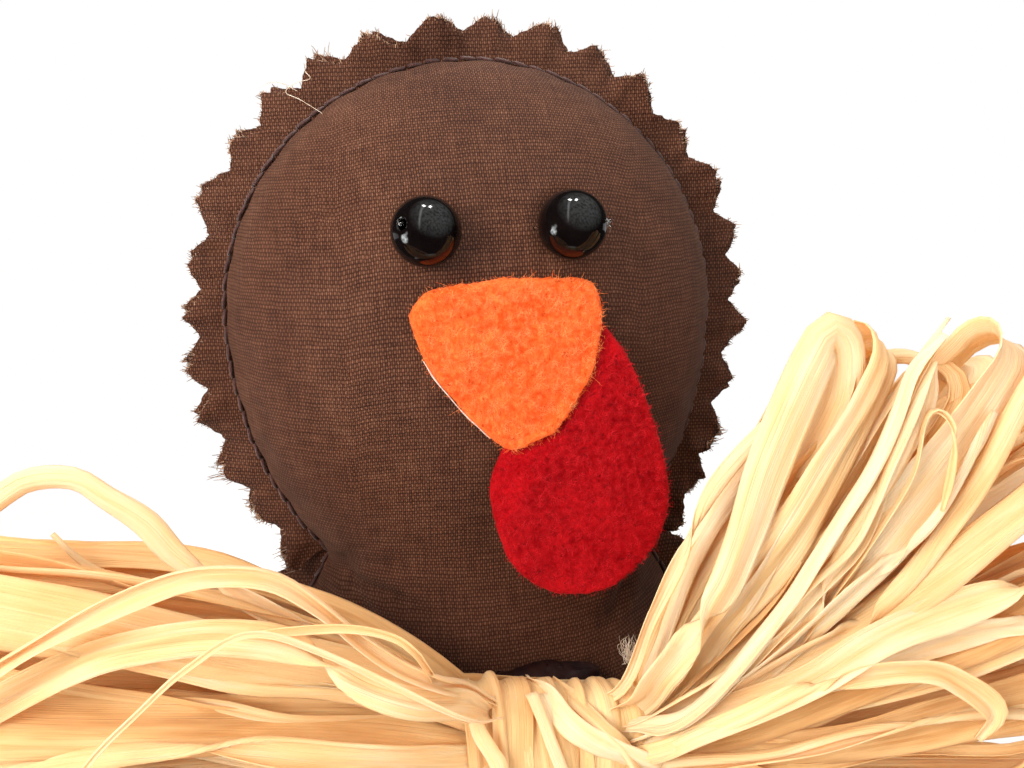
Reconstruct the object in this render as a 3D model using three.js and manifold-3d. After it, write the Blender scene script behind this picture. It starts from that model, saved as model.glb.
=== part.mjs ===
// A stuffed cloth turkey figure with bead eyes, a felt beak and wattle, and a raffia bow.
// Millimetres, +Z up. The face looks along -Y, and the origin is at the middle of the flat base.
import * as THREE from 'three';
import { mergeVertices } from 'three/addons/utils/BufferGeometryUtils.js';
import Module from 'manifold-3d';

// Seam line of the figure, seen from the front
const headSeamWidth = 66.5;
const headWidestHeight = 102.5;
const headSeamTop = 136;
const neckSeamWidth = 43.6;
const neckHeight = 70;
const bodySeamWidth = 83;
const bodyWidestHeight = 22;
const baseWidth = 75;
const neckFlareShare = 0.62;

// Depth of the stuffed figure, front to back
const headDepth = 48;
const neckDepth = 34;
const bodyDepth = 56;
const baseDepth = 50;
const crownPowerShare = 0.62;

// Cloth, its seam allowance and the pinked edge
const clothThickness = 0.5;
const seamAllowance = 6.2;
const toothPitch = 6.8;
const toothDepth = 2.6;
const toothSmoothing = 2;
const seamThreadThickness = 0.35;
const seamThreadReach = 0.7;

// Gap between pieces that touch
const clearance = 0.3;
const cutOverrun = 5;
const mergeTolerance = 0.0001;

// Rings of the domed surfaces, as shares of the way from the neck's middle to the seam
const ringShares = [0.22, 0.44, 0.63, 0.79, 0.91, 0.975];
const seamSamples = 2000;
const baseSegments = 12;

// Stuffing and what is under it
const stuffingSlack = 0.4;
const stuffingSeamInset = 1.6;
const boardThickness = 2;
const boardInset = 2.5;
const pouchWidth = 50;
const pouchDepth = 32;
const pouchHeight = 14;
const pouchSteps = 6;
const roundSides = 24;

// Bead eyes on their thread
const beadDiameter = 8;
const beadBore = 1.2;
const eyeSpacing = 16.8;
const eyeHeight = 115.2;
const eyeThreadDiameter = 0.5;
const straightThreadShare = 0.35;
const beadSides = 16;
const beadSteps = 10;
const threadSteps = 16;
const threadCurveSegments = 3;

// Felt beak
const beakThickness = 1.6;
const beakWidth = 22.4;
const beakHeight = 20.2;
const beakTipX = 0.5;
const beakTipHeight = 89.2;
const beakGlueShare = 0.86;
// Across the width and up the height, from the tip
const beakOutlineShares = [
  [0, 0], [0.12, 0.05], [0.26, 0.17], [0.4, 0.41], [0.475, 0.64], [0.495, 0.8], [0.455, 0.93],
  [0.34, 0.985], [0, 1], [-0.33, 0.97], [-0.45, 0.9], [-0.5, 0.78], [-0.43, 0.53], [-0.28, 0.28],
  [-0.1, 0.07],
];

// Felt wattle, a drop that hangs from under the beak's lower right edge
const wattleThickness = 1.5;
const wattleTopX = 9.6;
const wattleTopHeight = 105.2;
const wattleRight = 19.2;
const wattleLeft = -2.4;
const wattleSideHeight = 83;
const wattleBottomX = 8.2;
const wattleBottomHeight = 70.5;
const wattleTopRound = 3.4;
const wattleRoundShare = 0.55;
const wattleNeckShare = 0.25;
const foldLowX = 3;
const foldLowHeight = 87.9;
const foldHighX = 13.7;
const foldHighHeight = 102.1;
const tabReach = 6;
const overlayStep = 2;
const feltRingShares = [0.4, 0.7, 0.88, 1];

// Raffia bow: the bunch, the strand wound round its middle and the looped fans
const bowX = 2.8;
const wattleBandGap = 6;
const bandWidth = 21;
const bandHeight = 23;
const bandDepth = 12;
const bandCorner = 4.2;
const bandTurns = 6;
const bandStepsPerTurn = 20;
const wrapThickness = 0.6;
const wrapSelfGap = 0.5;
const bunchInset = 1.2;
const tieWidth = 4;
const tieTopX = -2;
const tieBottomX = 7.5;
const tieStartShare = 0.2;
const tieStations = 20;
const strandThickness = 0.55;
const strandWidth = 8.5;
const strandCurl = 1.5;
const flatterCurlShare = 0.45;
const curlFacets = 3;
const gatheredWidth = 2.3;
const rowsPerLayer = 7;
const rowStaggerShare = 0.5;
const loopLegGap = 2.2;
const loopBulge = 3.4;
const loopSwellShare = 0.8;
const layerSpread = 4.5;
const fanLength = 62;
const legStations = 8;
const loopStraightShare = 0.94;
const routeSamples = 40;
const turnStations = 5;
const leftFan = {
  side: -1,
  lowDegrees: -28,
  highDegrees: 23,
  startTurnShare: 1.5,
  startShare: 0.42,
  lengthShares: [0.94, 1.04, 1.12, 1.16, 1.14, 1.08, 0.98],
};
const rightFan = {
  side: 1,
  lowDegrees: -24,
  highDegrees: 57,
  startTurnShare: 0.85,
  startShare: 0.3,
  lengthShares: [0.98, 1.06, 1.1, 1.12, 1.08, 0.95, 0.76],
};
const gatherShare = 0.74;
const glueHeightShare = 0.8;
const glueWidthShare = 0.7;
const glueRaiseShare = 0.125;

// Loose raffia strands between the two layers: the row in the band, then places outward and up from the
// edge of the band, as shares of the fan's length
const looseThickness = 0.4;
const looseWidth = 3.4;
const looseStations = 18;
const looseStrands = [
  {
    name: 'left_01',
    side: -1,
    row: 5,
    placeShares: [
      [0.23, 0.14], [0.36, 0.25], [0.465, 0.35], [0.55, 0.48], [0.635, 0.54], [0.75, 0.5], [0.86, 0.36],
    ],
  },
  {
    name: 'left_02',
    side: -1,
    row: 6,
    placeShares: [[0.055, 0.135], [0.125, 0.235], [0.23, 0.29], [0.345, 0.33]],
  },
  {
    name: 'left_03',
    side: -1,
    row: 2,
    placeShares: [[0.26, 0.03], [0.52, -0.15], [0.73, -0.22], [0.955, -0.18]],
  },
  {
    name: 'right_01',
    side: 1,
    row: 6,
    placeShares: [[0.175, 0.2], [0.35, 0.475], [0.525, 0.595], [0.675, 0.525]],
  },
  {
    name: 'right_02',
    side: 1,
    row: 3,
    placeShares: [[0.175, 0.05], [0.465, 0.21], [0.755, 0.235], [1.01, 0.12]],
  },
];

const bowHeight = wattleBottomHeight - wattleBandGap - bandHeight / 2;
const headHalf = headSeamWidth / 2;
const neckHalf = neckSeamWidth / 2;
const bodyHalf = bodySeamWidth / 2;
const baseHalf = baseWidth / 2;
const panelFoot = clothThickness + clearance;
const panelFront = clearance / 2 + clothThickness;
const pouchFoot = panelFoot + boardThickness + clearance;

const wasm = await Module();
wasm.setup();

// Seam outline and depth of the figure

function ellipseShare(share) {
  return Math.sqrt(Math.max(0, 1 - share * share));
}

function smoothShare(share) {
  const s = Math.min(1, Math.max(0, share));
  return s * s * (3 - 2 * s);
}

function halfWidthAt(z) {
  if (z >= headWidestHeight) {
    return headHalf * ellipseShare((z - headWidestHeight) / (headSeamTop - headWidestHeight));
  }
  if (z >= neckHeight) {
    const reach = (headWidestHeight - neckHeight) / ellipseShare(neckHalf / headHalf);
    return headHalf * ellipseShare((headWidestHeight - z) / reach);
  }
  if (z >= bodyWidestHeight) {
    const shoulderHeight = neckHeight - (bodyHalf - neckHalf) / neckFlareShare;
    const a = neckHeight - 2 * shoulderHeight + bodyWidestHeight;
    const b = shoulderHeight - neckHeight;
    const root = Math.sqrt(Math.max(0, b * b - a * (neckHeight - z)));
    const t = (neckHeight - z) / (root - b);
    return neckHalf * (1 - t) * (1 - t) + bodyHalf * (2 * t - t * t);
  }
  return baseHalf + (bodyHalf - baseHalf) * ellipseShare(1 - z / bodyWidestHeight);
}

function halfDepthAt(z) {
  const head = headDepth / 2;
  const neck = neckDepth / 2;
  const body = bodyDepth / 2;
  const base = baseDepth / 2;
  if (z >= headWidestHeight) {
    const share = (z - headWidestHeight) / (headSeamTop - headWidestHeight);
    return head * Math.pow(Math.max(0, 1 - share * share), crownPowerShare);
  }
  if (z >= neckHeight) {
    return neck + (head - neck) * smoothShare((z - neckHeight) / (headWidestHeight - neckHeight));
  }
  if (z >= bodyWidestHeight) {
    return body + (neck - body) * smoothShare((z - bodyWidestHeight) / (neckHeight - bodyWidestHeight));
  }
  return base + (body - base) * ellipseShare(1 - z / bodyWidestHeight);
}

function depthAt(x, z) {
  const half = halfWidthAt(z);
  if (half <= Math.abs(x)) {
    return 0;
  }
  const share = x / half;
  return halfDepthAt(z) * Math.pow(1 - share * share, crownPowerShare);
}

class SeamCurve extends THREE.Curve {
  getPoint(t, target = new THREE.Vector2()) {
    const side = t < 0.5 ? 1 : -1;
    const rise = Math.sin((1 - Math.abs(2 * t - 1)) * Math.PI / 2);
    const z = panelFoot + (headSeamTop - panelFoot) * rise;
    return target.set(side * halfWidthAt(z), z);
  }
}

// Outline of the figure: the seam from the right foot over the crown to the left foot, then the base
const seamCurve = new SeamCurve();
seamCurve.arcLengthDivisions = seamSamples;
const toothCount = Math.round(seamCurve.getLength() / toothPitch);
const fineSeam = seamCurve.getSpacedPoints(toothCount * 2);
const seamPoints = fineSeam.filter((point, index) => index % 2 === 0);
const footHalf = halfWidthAt(panelFoot);
const basePoints = [];
for (let i = 1; i < baseSegments; i += 1) {
  const angle = Math.PI * i / baseSegments;
  basePoints.push(new THREE.Vector2(-footHalf * Math.cos(angle), panelFoot));
}
const outline = [...seamPoints, ...basePoints];
const neckMiddle = new THREE.Vector2(0, neckHeight);

function flangePoint(index, reach) {
  const last = fineSeam.length - 1;
  const before = fineSeam[Math.max(0, index - toothSmoothing)];
  const after = fineSeam[Math.min(last, index + toothSmoothing)];
  const along = after.clone().sub(before).normalize();
  const point = fineSeam[index].clone();
  point.x += along.y * reach;
  point.y = Math.max(panelFoot, point.y - along.x * reach);
  return point;
}

// Closed solids from grids of points

function solidGeometry(points, triangles) {
  const geometry = new THREE.BufferGeometry();
  const positions = new Float32Array(points.flatMap((p) => [p.x, p.y, p.z]));
  geometry.setAttribute('position', new THREE.BufferAttribute(positions, 3));
  geometry.setIndex(triangles.flat());
  return geometry;
}

// A sheet with an outer and an inner face: its free edges are closed by a narrow wall
function thickSheet(outer, inner, triangles) {
  const count = outer.length;
  const faces = [];
  const edges = new Map();
  for (const [a, b, c] of triangles) {
    faces.push([a, b, c], [c + count, b + count, a + count]);
    for (const [from, to] of [[a, b], [b, c], [c, a]]) {
      edges.set(`${from} ${to}`, [from, to]);
    }
  }
  for (const [from, to] of edges.values()) {
    if (!edges.has(`${to} ${from}`)) {
      faces.push([from, from + count, to + count], [from, to + count, to]);
    }
  }
  return solidGeometry([...outer, ...inner], faces);
}

// A disc of rings round a middle point: ring r, spoke k has the index 1 + r * spokes + k
function discTriangles(rings, spokes) {
  const triangles = [];
  for (let k = 0; k < spokes; k += 1) {
    const next = (k + 1) % spokes;
    triangles.push([0, 1 + k, 1 + next]);
    for (let r = 1; r < rings; r += 1) {
      const low = 1 + (r - 1) * spokes;
      const high = 1 + r * spokes;
      triangles.push([low + k, high + k, high + next], [low + k, high + next, low + next]);
    }
  }
  return triangles;
}

function discPoints(middle, edge, shares) {
  const points = [middle.clone()];
  for (const share of shares) {
    for (const point of edge) {
      points.push(middle.clone().lerp(point, share));
    }
  }
  return points;
}

function toManifold(geometry) {
  const clean = geometry.clone();
  clean.deleteAttribute('normal');
  clean.deleteAttribute('uv');
  const merged = mergeVertices(clean, mergeTolerance);
  return new wasm.Manifold(new wasm.Mesh({
    numProp: 3,
    vertProperties: new Float32Array(merged.attributes.position.array),
    triVerts: new Uint32Array(merged.index.array),
  }));
}

function fromManifold(solid) {
  const mesh = solid.getMesh();
  const geometry = new THREE.BufferGeometry();
  geometry.setAttribute('position', new THREE.BufferAttribute(mesh.vertProperties, 3));
  geometry.setIndex(new THREE.BufferAttribute(mesh.triVerts, 1));
  return geometry;
}

// Front or back cloth panel: a dome out of the seam plane, and the pinked allowance round it
function panelGeometry(side) {
  const flat = discPoints(neckMiddle, outline, [...ringShares, 1]);
  const seamStart = 1 + ringShares.length * outline.length;
  const triangles = discTriangles(ringShares.length + 1, outline.length);
  const outer = [];
  const inner = [];
  const step = clothThickness / 2;
  flat.forEach((p, index) => {
    const onSeam = index >= seamStart && index < seamStart + seamPoints.length;
    const depth = onSeam ? 0 : depthAt(p.x, p.y);
    const slopeX = onSeam ? 0 : (depthAt(p.x + step, p.y) - depthAt(p.x - step, p.y)) / (2 * step);
    const slopeZ = onSeam ? 0 : (depthAt(p.x, p.y + step) - depthAt(p.x, p.y - step)) / (2 * step);
    const inward = new THREE.Vector3(slopeX, 1, slopeZ).normalize();
    if (p.y <= panelFoot) {
      inward.z = 0;
    }
    const at = new THREE.Vector3(p.x, -panelFront - depth, p.y);
    outer.push(at);
    inner.push(at.clone().addScaledVector(inward, clothThickness));
  });
  const valleyReach = seamAllowance - toothDepth;
  for (let i = 0; i < fineSeam.length; i += 1) {
    const edge = flangePoint(i, i % 2 === 0 ? valleyReach : seamAllowance);
    outer.push(new THREE.Vector3(edge.x, -panelFront, edge.y));
    inner.push(new THREE.Vector3(edge.x, clothThickness - panelFront, edge.y));
  }
  const valleyStart = flat.length;
  for (let tooth = 0; tooth < toothCount; tooth += 1) {
    const here = seamStart + tooth;
    const valley = valleyStart + tooth * 2;
    triangles.push([here, valley, valley + 1], [here, valley + 1, here + 1]);
    triangles.push([here + 1, valley + 1, valley + 2]);
  }
  if (side > 0) {
    for (const point of [...outer, ...inner]) {
      point.y = -point.y;
    }
    return thickSheet(outer, inner, triangles.map(([a, b, c]) => [c, b, a]));
  }
  return thickSheet(outer, inner, triangles);
}

// The whole figure as one solid, drawn in from the seam and from the cloth, or grown past it
function figureSolid(seamInset, depthInset) {
  const drawnIn = outline.map((point) => {
    const reach = point.clone().sub(neckMiddle);
    return neckMiddle.clone().addScaledVector(reach, 1 - seamInset / reach.length());
  });
  const shares = [...ringShares, 1];
  const flat = discPoints(neckMiddle, drawnIn, shares);
  const reference = discPoints(neckMiddle, outline, shares);
  const seamStart = 1 + ringShares.length * outline.length;
  const seamEnd = seamStart + seamPoints.length;
  const points = [];
  const faces = [];
  const back = [];
  flat.forEach((p, index) => {
    const depth = Math.max(0, depthAt(reference[index].x, reference[index].y) - depthInset);
    const onSeam = index >= seamStart && index < seamEnd;
    points.push(new THREE.Vector3(p.x, onSeam ? 0 : -depth, p.y));
  });
  flat.forEach((p, index) => {
    const onSeam = index >= seamStart && index < seamEnd;
    if (onSeam) {
      back.push(index);
    } else {
      back.push(points.length);
      points.push(new THREE.Vector3(p.x, -points[index].y, p.y));
    }
  });
  for (const [a, b, c] of discTriangles(shares.length, outline.length)) {
    faces.push([a, b, c], [back[c], back[b], back[a]]);
  }
  const rim = [seamEnd - 1];
  for (let i = 0; i < basePoints.length; i += 1) {
    rim.push(seamEnd + i);
  }
  rim.push(seamStart);
  for (let i = 0; i + 1 < rim.length; i += 1) {
    const here = rim[i];
    const next = rim[i + 1];
    if (back[here] !== here) {
      faces.push([here, back[here], back[next]]);
    }
    if (back[next] !== next) {
      faces.push([here, back[next], next]);
    }
  }
  return toManifold(solidGeometry(points, faces));
}

function boxSolid(span, low, high) {
  const box = new THREE.BoxGeometry(span, span, high - low);
  box.translate(0, 0, (low + high) / 2);
  return toManifold(box);
}

// Base and what stands on it

function ovalDisc(halfWidth, halfDepth, thickness, foot) {
  const edge = [];
  for (let i = 0; i < 2 * roundSides; i += 1) {
    const angle = Math.PI * i / roundSides;
    const c = Math.cos(angle);
    const y = halfDepth * Math.pow(1 - c * c, crownPowerShare) * Math.sign(Math.sin(angle));
    edge.push(new THREE.Vector2(halfWidth * c, y));
  }
  const disc = new THREE.ExtrudeGeometry(new THREE.Shape(edge), { depth: thickness, bevelEnabled: false });
  disc.translate(0, 0, foot);
  return disc;
}

function pouchGeometry(grow) {
  const half = pouchHeight / 2;
  const profile = [new THREE.Vector2(0, -half - grow)];
  for (let i = 1; i < pouchSteps; i += 1) {
    const angle = Math.PI * i / pouchSteps - Math.PI / 2;
    const reach = Math.sqrt(Math.cos(angle));
    profile.push(new THREE.Vector2(reach * (1 + grow / half), Math.sin(angle) * (half + grow)));
  }
  profile.push(new THREE.Vector2(0, half + grow));
  const pouch = new THREE.LatheGeometry(profile, roundSides);
  pouch.rotateX(Math.PI / 2);
  pouch.scale(pouchWidth / 2, pouchDepth / 2, 1);
  pouch.translate(0, 0, pouchFoot + half);
  return pouch;
}

// Felt pieces

function withShortEdges(edge, step) {
  return edge.flatMap((point, index) => {
    const next = edge[(index + 1) % edge.length];
    const parts = Math.ceil(point.distanceTo(next) / step);
    return Array.from({ length: parts }, (unused, part) => point.clone().lerp(next, part / parts));
  });
}

// A piece that follows the head's front: an outline, laid over the cloth and given a thickness
function overlayGeometry(outlinePoints, offset, thickness) {
  const edge = withShortEdges(outlinePoints, overlayStep);
  const middle = edge.reduce((sum, point) => sum.add(point), new THREE.Vector2()).divideScalar(edge.length);
  const flat = discPoints(middle, edge, feltRingShares);
  const layer = (out) => flat.map((p) => {
    return new THREE.Vector3(p.x, -panelFront - depthAt(p.x, p.y) - out, p.y);
  });
  const triangles = discTriangles(feltRingShares.length, edge.length);
  return thickSheet(layer(offset + thickness), layer(offset), triangles);
}

function extrudedFront(edge, back, thickness) {
  const geometry = new THREE.ExtrudeGeometry(new THREE.Shape(edge), {
    depth: thickness,
    bevelEnabled: false,
  });
  geometry.rotateX(Math.PI / 2);
  geometry.translate(0, back, 0);
  return geometry;
}

// Keeps the part of a closed outline that lies more than `gap` to one side of the wattle's fold line
function clipAtFold(edge, sign, gap) {
  const low = new THREE.Vector2(foldLowX, foldLowHeight);
  const along = new THREE.Vector2(foldHighX, foldHighHeight).sub(low).normalize();
  const away = new THREE.Vector2(along.y, -along.x).multiplyScalar(sign);
  const kept = [];
  edge.forEach((point, index) => {
    const next = edge[(index + 1) % edge.length];
    const here = point.clone().sub(low).dot(away) - gap;
    const there = next.clone().sub(low).dot(away) - gap;
    if (here >= 0) {
      kept.push(point.clone());
    }
    if (here * there < 0) {
      kept.push(point.clone().lerp(next, here / (here - there)));
    }
  });
  return kept;
}

function drawnTogether(edge, share) {
  const middle = edge.reduce((sum, point) => sum.add(point), new THREE.Vector2()).divideScalar(edge.length);
  return edge.map((point) => middle.clone().lerp(point, share));
}

function beakOutline() {
  const points = beakOutlineShares.map(([across, up]) => {
    return new THREE.Vector3(beakTipX + across * beakWidth, beakTipHeight + up * beakHeight, 0);
  });
  const curve = new THREE.CatmullRomCurve3(points, true, 'centripetal');
  return curve.getSpacedPoints(roundSides).slice(0, roundSides).map((p) => new THREE.Vector2(p.x, p.y));
}

function wattleOutline() {
  const neck = (wattleTopHeight - wattleSideHeight) * wattleNeckShare;
  const sideRound = (wattleSideHeight - wattleBottomHeight) * wattleRoundShare;
  const bottomRound = (wattleRight - wattleBottomX) * wattleRoundShare;
  const shape = new THREE.Shape();
  shape.moveTo(wattleTopX, wattleTopHeight);
  shape.bezierCurveTo(wattleTopX - wattleTopRound, wattleTopHeight - neck,
    wattleLeft, wattleSideHeight + neck, wattleLeft, wattleSideHeight);
  shape.bezierCurveTo(wattleLeft, wattleSideHeight - sideRound,
    wattleBottomX - bottomRound, wattleBottomHeight, wattleBottomX, wattleBottomHeight);
  shape.bezierCurveTo(wattleBottomX + bottomRound, wattleBottomHeight,
    wattleRight, wattleSideHeight - sideRound, wattleRight, wattleSideHeight);
  shape.bezierCurveTo(wattleRight, wattleSideHeight + sideRound,
    wattleTopX + wattleTopRound, wattleTopHeight, wattleTopX, wattleTopHeight);
  return shape.getSpacedPoints(2 * roundSides).slice(0, 2 * roundSides);
}

// Beads and their thread

function beadGeometry() {
  const radius = beadDiameter / 2;
  const bore = beadBore / 2;
  const open = Math.asin(bore / radius);
  const profile = [];
  for (let i = 0; i <= beadSteps; i += 1) {
    const angle = open + (Math.PI - 2 * open) * i / beadSteps;
    profile.push(new THREE.Vector2(radius * Math.sin(angle), -radius * Math.cos(angle)));
  }
  profile.push(profile[0].clone());
  const bead = new THREE.LatheGeometry(profile, beadSides);
  bead.rotateZ(-Math.PI / 2);
  return bead;
}

// The thread goes through the bead and back into the cloth on each side, at its own depth
function eyeThreadGeometry(leftDepth, rightDepth) {
  const half = beadDiameter / 2 + eyeThreadDiameter;
  const bend = eyeThreadDiameter;
  const straight = beadDiameter * straightThreadShare;
  const route = new THREE.CatmullRomCurve3([
    new THREE.Vector3(-half, leftDepth, 0),
    new THREE.Vector3(-half, leftDepth / 2, 0),
    new THREE.Vector3(bend - half, bend / 2, 0),
    new THREE.Vector3(-straight, 0, 0),
    new THREE.Vector3(straight, 0, 0),
    new THREE.Vector3(half - bend, bend / 2, 0),
    new THREE.Vector3(half, rightDepth / 2, 0),
    new THREE.Vector3(half, rightDepth, 0),
  ]);
  const section = new THREE.Shape();
  section.absarc(0, 0, eyeThreadDiameter / 2, 0, 2 * Math.PI);
  return new THREE.ExtrudeGeometry(section, {
    steps: threadSteps,
    curveSegments: threadCurveSegments,
    extrudePath: route,
  });
}

// Strands and threads

// A strand swept through stations, each with a middle, a direction across and one through it.
// Where a station has a curl, the strand's edges stand that far off its middle, towards `through`.
function strandGeometry(stations, thickness, facets = 1) {
  const points = [];
  const faces = [];
  const ring = 2 * (facets + 1);
  for (const station of stations) {
    const curl = station.curl ?? 0;
    for (let c = 0; c < ring; c += 1) {
      const onBack = c <= facets;
      const share = 2 * (onBack ? c : ring - 1 - c) / facets - 1;
      const out = curl * share * share + (onBack ? -thickness : thickness) / 2;
      points.push(station.at.clone()
        .addScaledVector(station.across, share * station.width / 2)
        .addScaledVector(station.through, out));
    }
  }
  for (let s = 0; s + 1 < stations.length; s += 1) {
    for (let c = 0; c < ring; c += 1) {
      const a = ring * s + c;
      const b = ring * s + (c + 1) % ring;
      faces.push([a, b, b + ring], [a, b + ring, a + ring]);
    }
  }
  const last = ring * (stations.length - 1);
  for (let c = 0; c < facets; c += 1) {
    const far = ring - 1 - c;
    faces.push([c, far - 1, c + 1], [c, far, far - 1]);
    faces.push([last + c, last + c + 1, last + far - 1], [last + c, last + far - 1, last + far]);
  }
  const geometry = solidGeometry(points, faces);
  if (toManifold(geometry).volume() < 0) {
    geometry.setIndex(faces.map(([a, b, c]) => [c, b, a]).flat());
  }
  return geometry;
}

// The seam thread lies along the seam on the outer face of one panel
function seamThreadGeometry(side) {
  const y = side * (panelFront + clearance + seamThreadThickness / 2);
  const middles = fineSeam.map((point, index) => {
    const at = flangePoint(index, seamThreadReach);
    return new THREE.Vector3(at.x, y, at.y);
  });
  const stations = middles.map((at, index) => {
    const before = middles[Math.max(0, index - 1)];
    const after = middles[Math.min(middles.length - 1, index + 1)];
    const along = after.clone().sub(before).normalize();
    const across = new THREE.Vector3(along.z, 0, -along.x);
    return { at, across, through: new THREE.Vector3(0, 1, 0), width: seamThreadThickness };
  });
  return strandGeometry(stations, seamThreadThickness);
}

// Raffia

const chestDepth = panelFront + depthAt(bowX, bowHeight - bandHeight / 2);
const bandBack = -chestDepth - clearance;
const bandMiddle = bandBack - bandDepth / 2;
const bunchHalfHeight = bandHeight / 2 - wrapThickness - bunchInset;
const bunchHalfDepth = bandDepth / 2 - wrapThickness - clearance;
const rowPitch = (2 * bunchHalfHeight - gatheredWidth) / (rowsPerLayer - 1);

function rowHeight(row) {
  return bowHeight + (row - (rowsPerLayer - 1) / 2) * rowPitch;
}

// Middle line of one row of a fan, seen from the front, from the edge of the band to the loop's end.
// The rows of the front layer stand higher than those of the rear one by a share of a row.
function fanRoute(fan, row, layer) {
  const rise = layer < 0 ? row + rowStaggerShare : row;
  const share = rise / (rowsPerLayer - 1 + rowStaggerShare);
  const angle = THREE.MathUtils.degToRad(fan.lowDegrees + (fan.highDegrees - fan.lowDegrees) * share);
  const exit = new THREE.Vector2(bowX + fan.side * bandWidth / 2, rowHeight(row));
  const length = fanLength * fan.lengthShares[row];
  const lead = length * fan.startShare;
  const first = angle * fan.startTurnShare;
  return new THREE.QuadraticBezierCurve(
    exit,
    new THREE.Vector2(exit.x + fan.side * lead * Math.cos(first), exit.y + lead * Math.sin(first)),
    new THREE.Vector2(exit.x + fan.side * length * Math.cos(angle), exit.y + length * Math.sin(angle)),
  );
}

// One leg of a loop: its places, its width where the rows crowd, how far it stands off its layer and how
// far its edges curl inwards. The leaves of every other row curl less.
function legList(fan, row, layer) {
  const route = fanRoute(fan, row, layer);
  const neighbours = [row - 1, row + 1]
    .filter((other) => other >= 0 && other < rowsPerLayer)
    .flatMap((other) => fanRoute(fan, other, layer).getSpacedPoints(routeSamples));
  const leg = [];
  for (let i = 0; i <= legStations; i += 1) {
    const share = i / legStations;
    const along = Math.max(0, i - 1) / (legStations - 1) * loopStraightShare;
    const inBand = i === 0;
    const middle = new THREE.Vector2(bowX + fan.side * clearance / 2, route.v0.y);
    const at = inBand ? middle : route.getPointAt(along);
    const swell = Math.sin(loopSwellShare * Math.PI * Math.max(0, share - 1 / legStations));
    const nearest = Math.min(...neighbours.map((point) => point.distanceTo(at)));
    const rowCurl = row % 2 === 0 ? strandCurl * flatterCurlShare : strandCurl;
    leg.push({
      at,
      curl: rowCurl * Math.max(0, Math.sin(Math.PI * (i - 1) / (legStations - 1))),
      along: inBand ? new THREE.Vector2(fan.side, 0) : route.getTangentAt(along),
      width: inBand ? gatheredWidth : Math.min(strandWidth, gatherShare * nearest),
      stand: loopLegGap / 2 + loopBulge * swell,
      y: bandMiddle + layer * (bunchHalfDepth / 2 + layerSpread * smoothShare(share)),
    });
  }
  return leg;
}

// A loop of one strand: out along the front leg, round the end and back along the rear leg
function loopGeometry(fan, row, layer) {
  const leg = legList(fan, row, layer);
  const stations = [];
  const place = (item, at, y, through, curl = 0) => stations.push({
    at: new THREE.Vector3(at.x, y, at.y),
    across: new THREE.Vector3(-item.along.y, 0, item.along.x),
    through,
    curl,
    width: item.width,
  });
  for (const item of leg) {
    place(item, item.at, item.y - item.stand, new THREE.Vector3(0, 1, 0), item.curl);
  }
  const tip = leg[leg.length - 1];
  for (let i = 1; i < turnStations; i += 1) {
    const angle = Math.PI * i / turnStations;
    const at = tip.at.clone().addScaledVector(tip.along, tip.stand * Math.sin(angle));
    const inward = tip.along.clone().multiplyScalar(-Math.sin(angle));
    const through = new THREE.Vector3(inward.x, Math.cos(angle), inward.y);
    place(tip, at, tip.y - tip.stand * Math.cos(angle), through);
  }
  for (const item of leg.slice().reverse()) {
    place(item, item.at, item.y + item.stand, new THREE.Vector3(0, -1, 0), item.curl);
  }
  return strandGeometry(stations, strandThickness, curlFacets);
}

// A loose strand lies flat between the two layers, wider outside the band than in it
function looseGeometry(strand) {
  const height = rowHeight(strand.row);
  const start = new THREE.Vector3(bowX + strand.side * clearance / 2, height, 0);
  const exit = new THREE.Vector3(bowX + strand.side * bandWidth / 2, height, 0);
  const places = strand.placeShares.map(([out, up]) => {
    return new THREE.Vector3(exit.x + strand.side * out * fanLength, exit.y + up * fanLength, 0);
  });
  const route = new THREE.CatmullRomCurve3([start, exit, ...places], false, 'centripetal');
  const stations = [];
  for (let i = 0; i <= looseStations; i += 1) {
    const share = i / looseStations;
    const at = route.getPointAt(share);
    const along = route.getTangentAt(share);
    const outside = Math.abs(at.x - bowX) - bandWidth / 2;
    stations.push({
      at: new THREE.Vector3(at.x, bandMiddle, at.y),
      across: new THREE.Vector3(-along.y, 0, along.x),
      through: new THREE.Vector3(0, 1, 0),
      width: gatheredWidth + (looseWidth - gatheredWidth) * smoothShare(outside / bandWidth),
    });
  }
  return strandGeometry(stations, looseThickness);
}

// Rounded oval that the wound strand follows, seen along the bunch: across is depth, up is height
function bandPath(grow) {
  const halfDepth = bandDepth / 2 - wrapThickness / 2 + grow;
  const halfHeight = bandHeight / 2 - wrapThickness / 2 + grow;
  const corner = bandCorner + grow;
  const path = new THREE.Path();
  path.moveTo(halfDepth, 0);
  path.absarc(halfDepth - corner, halfHeight - corner, corner, 0, Math.PI / 2);
  path.absarc(corner - halfDepth, halfHeight - corner, corner, Math.PI / 2, Math.PI);
  path.absarc(corner - halfDepth, corner - halfHeight, corner, Math.PI, 1.5 * Math.PI);
  path.absarc(halfDepth - corner, corner - halfHeight, corner, 1.5 * Math.PI, 2 * Math.PI);
  path.closePath();
  return path;
}

function bandStation(path, turn, x, width) {
  const at = path.getPointAt(turn % 1);
  const along = path.getTangentAt(turn % 1);
  return {
    at: new THREE.Vector3(x, bandMiddle + at.x, bowHeight + at.y),
    across: new THREE.Vector3(1, 0, 0),
    through: new THREE.Vector3(0, along.y, -along.x),
    width,
  };
}

// The strand wound round the bunch, turn beside turn
function windingStations() {
  const path = bandPath(0);
  const pitch = bandWidth / (bandTurns + 1);
  const start = bowX - bandWidth / 2 + pitch / 2;
  const stations = [];
  for (let i = 0; i <= bandTurns * bandStepsPerTurn; i += 1) {
    const turn = i / bandStepsPerTurn;
    stations.push(bandStation(path, turn, start + turn * pitch, pitch - wrapSelfGap));
  }
  return stations;
}

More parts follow.
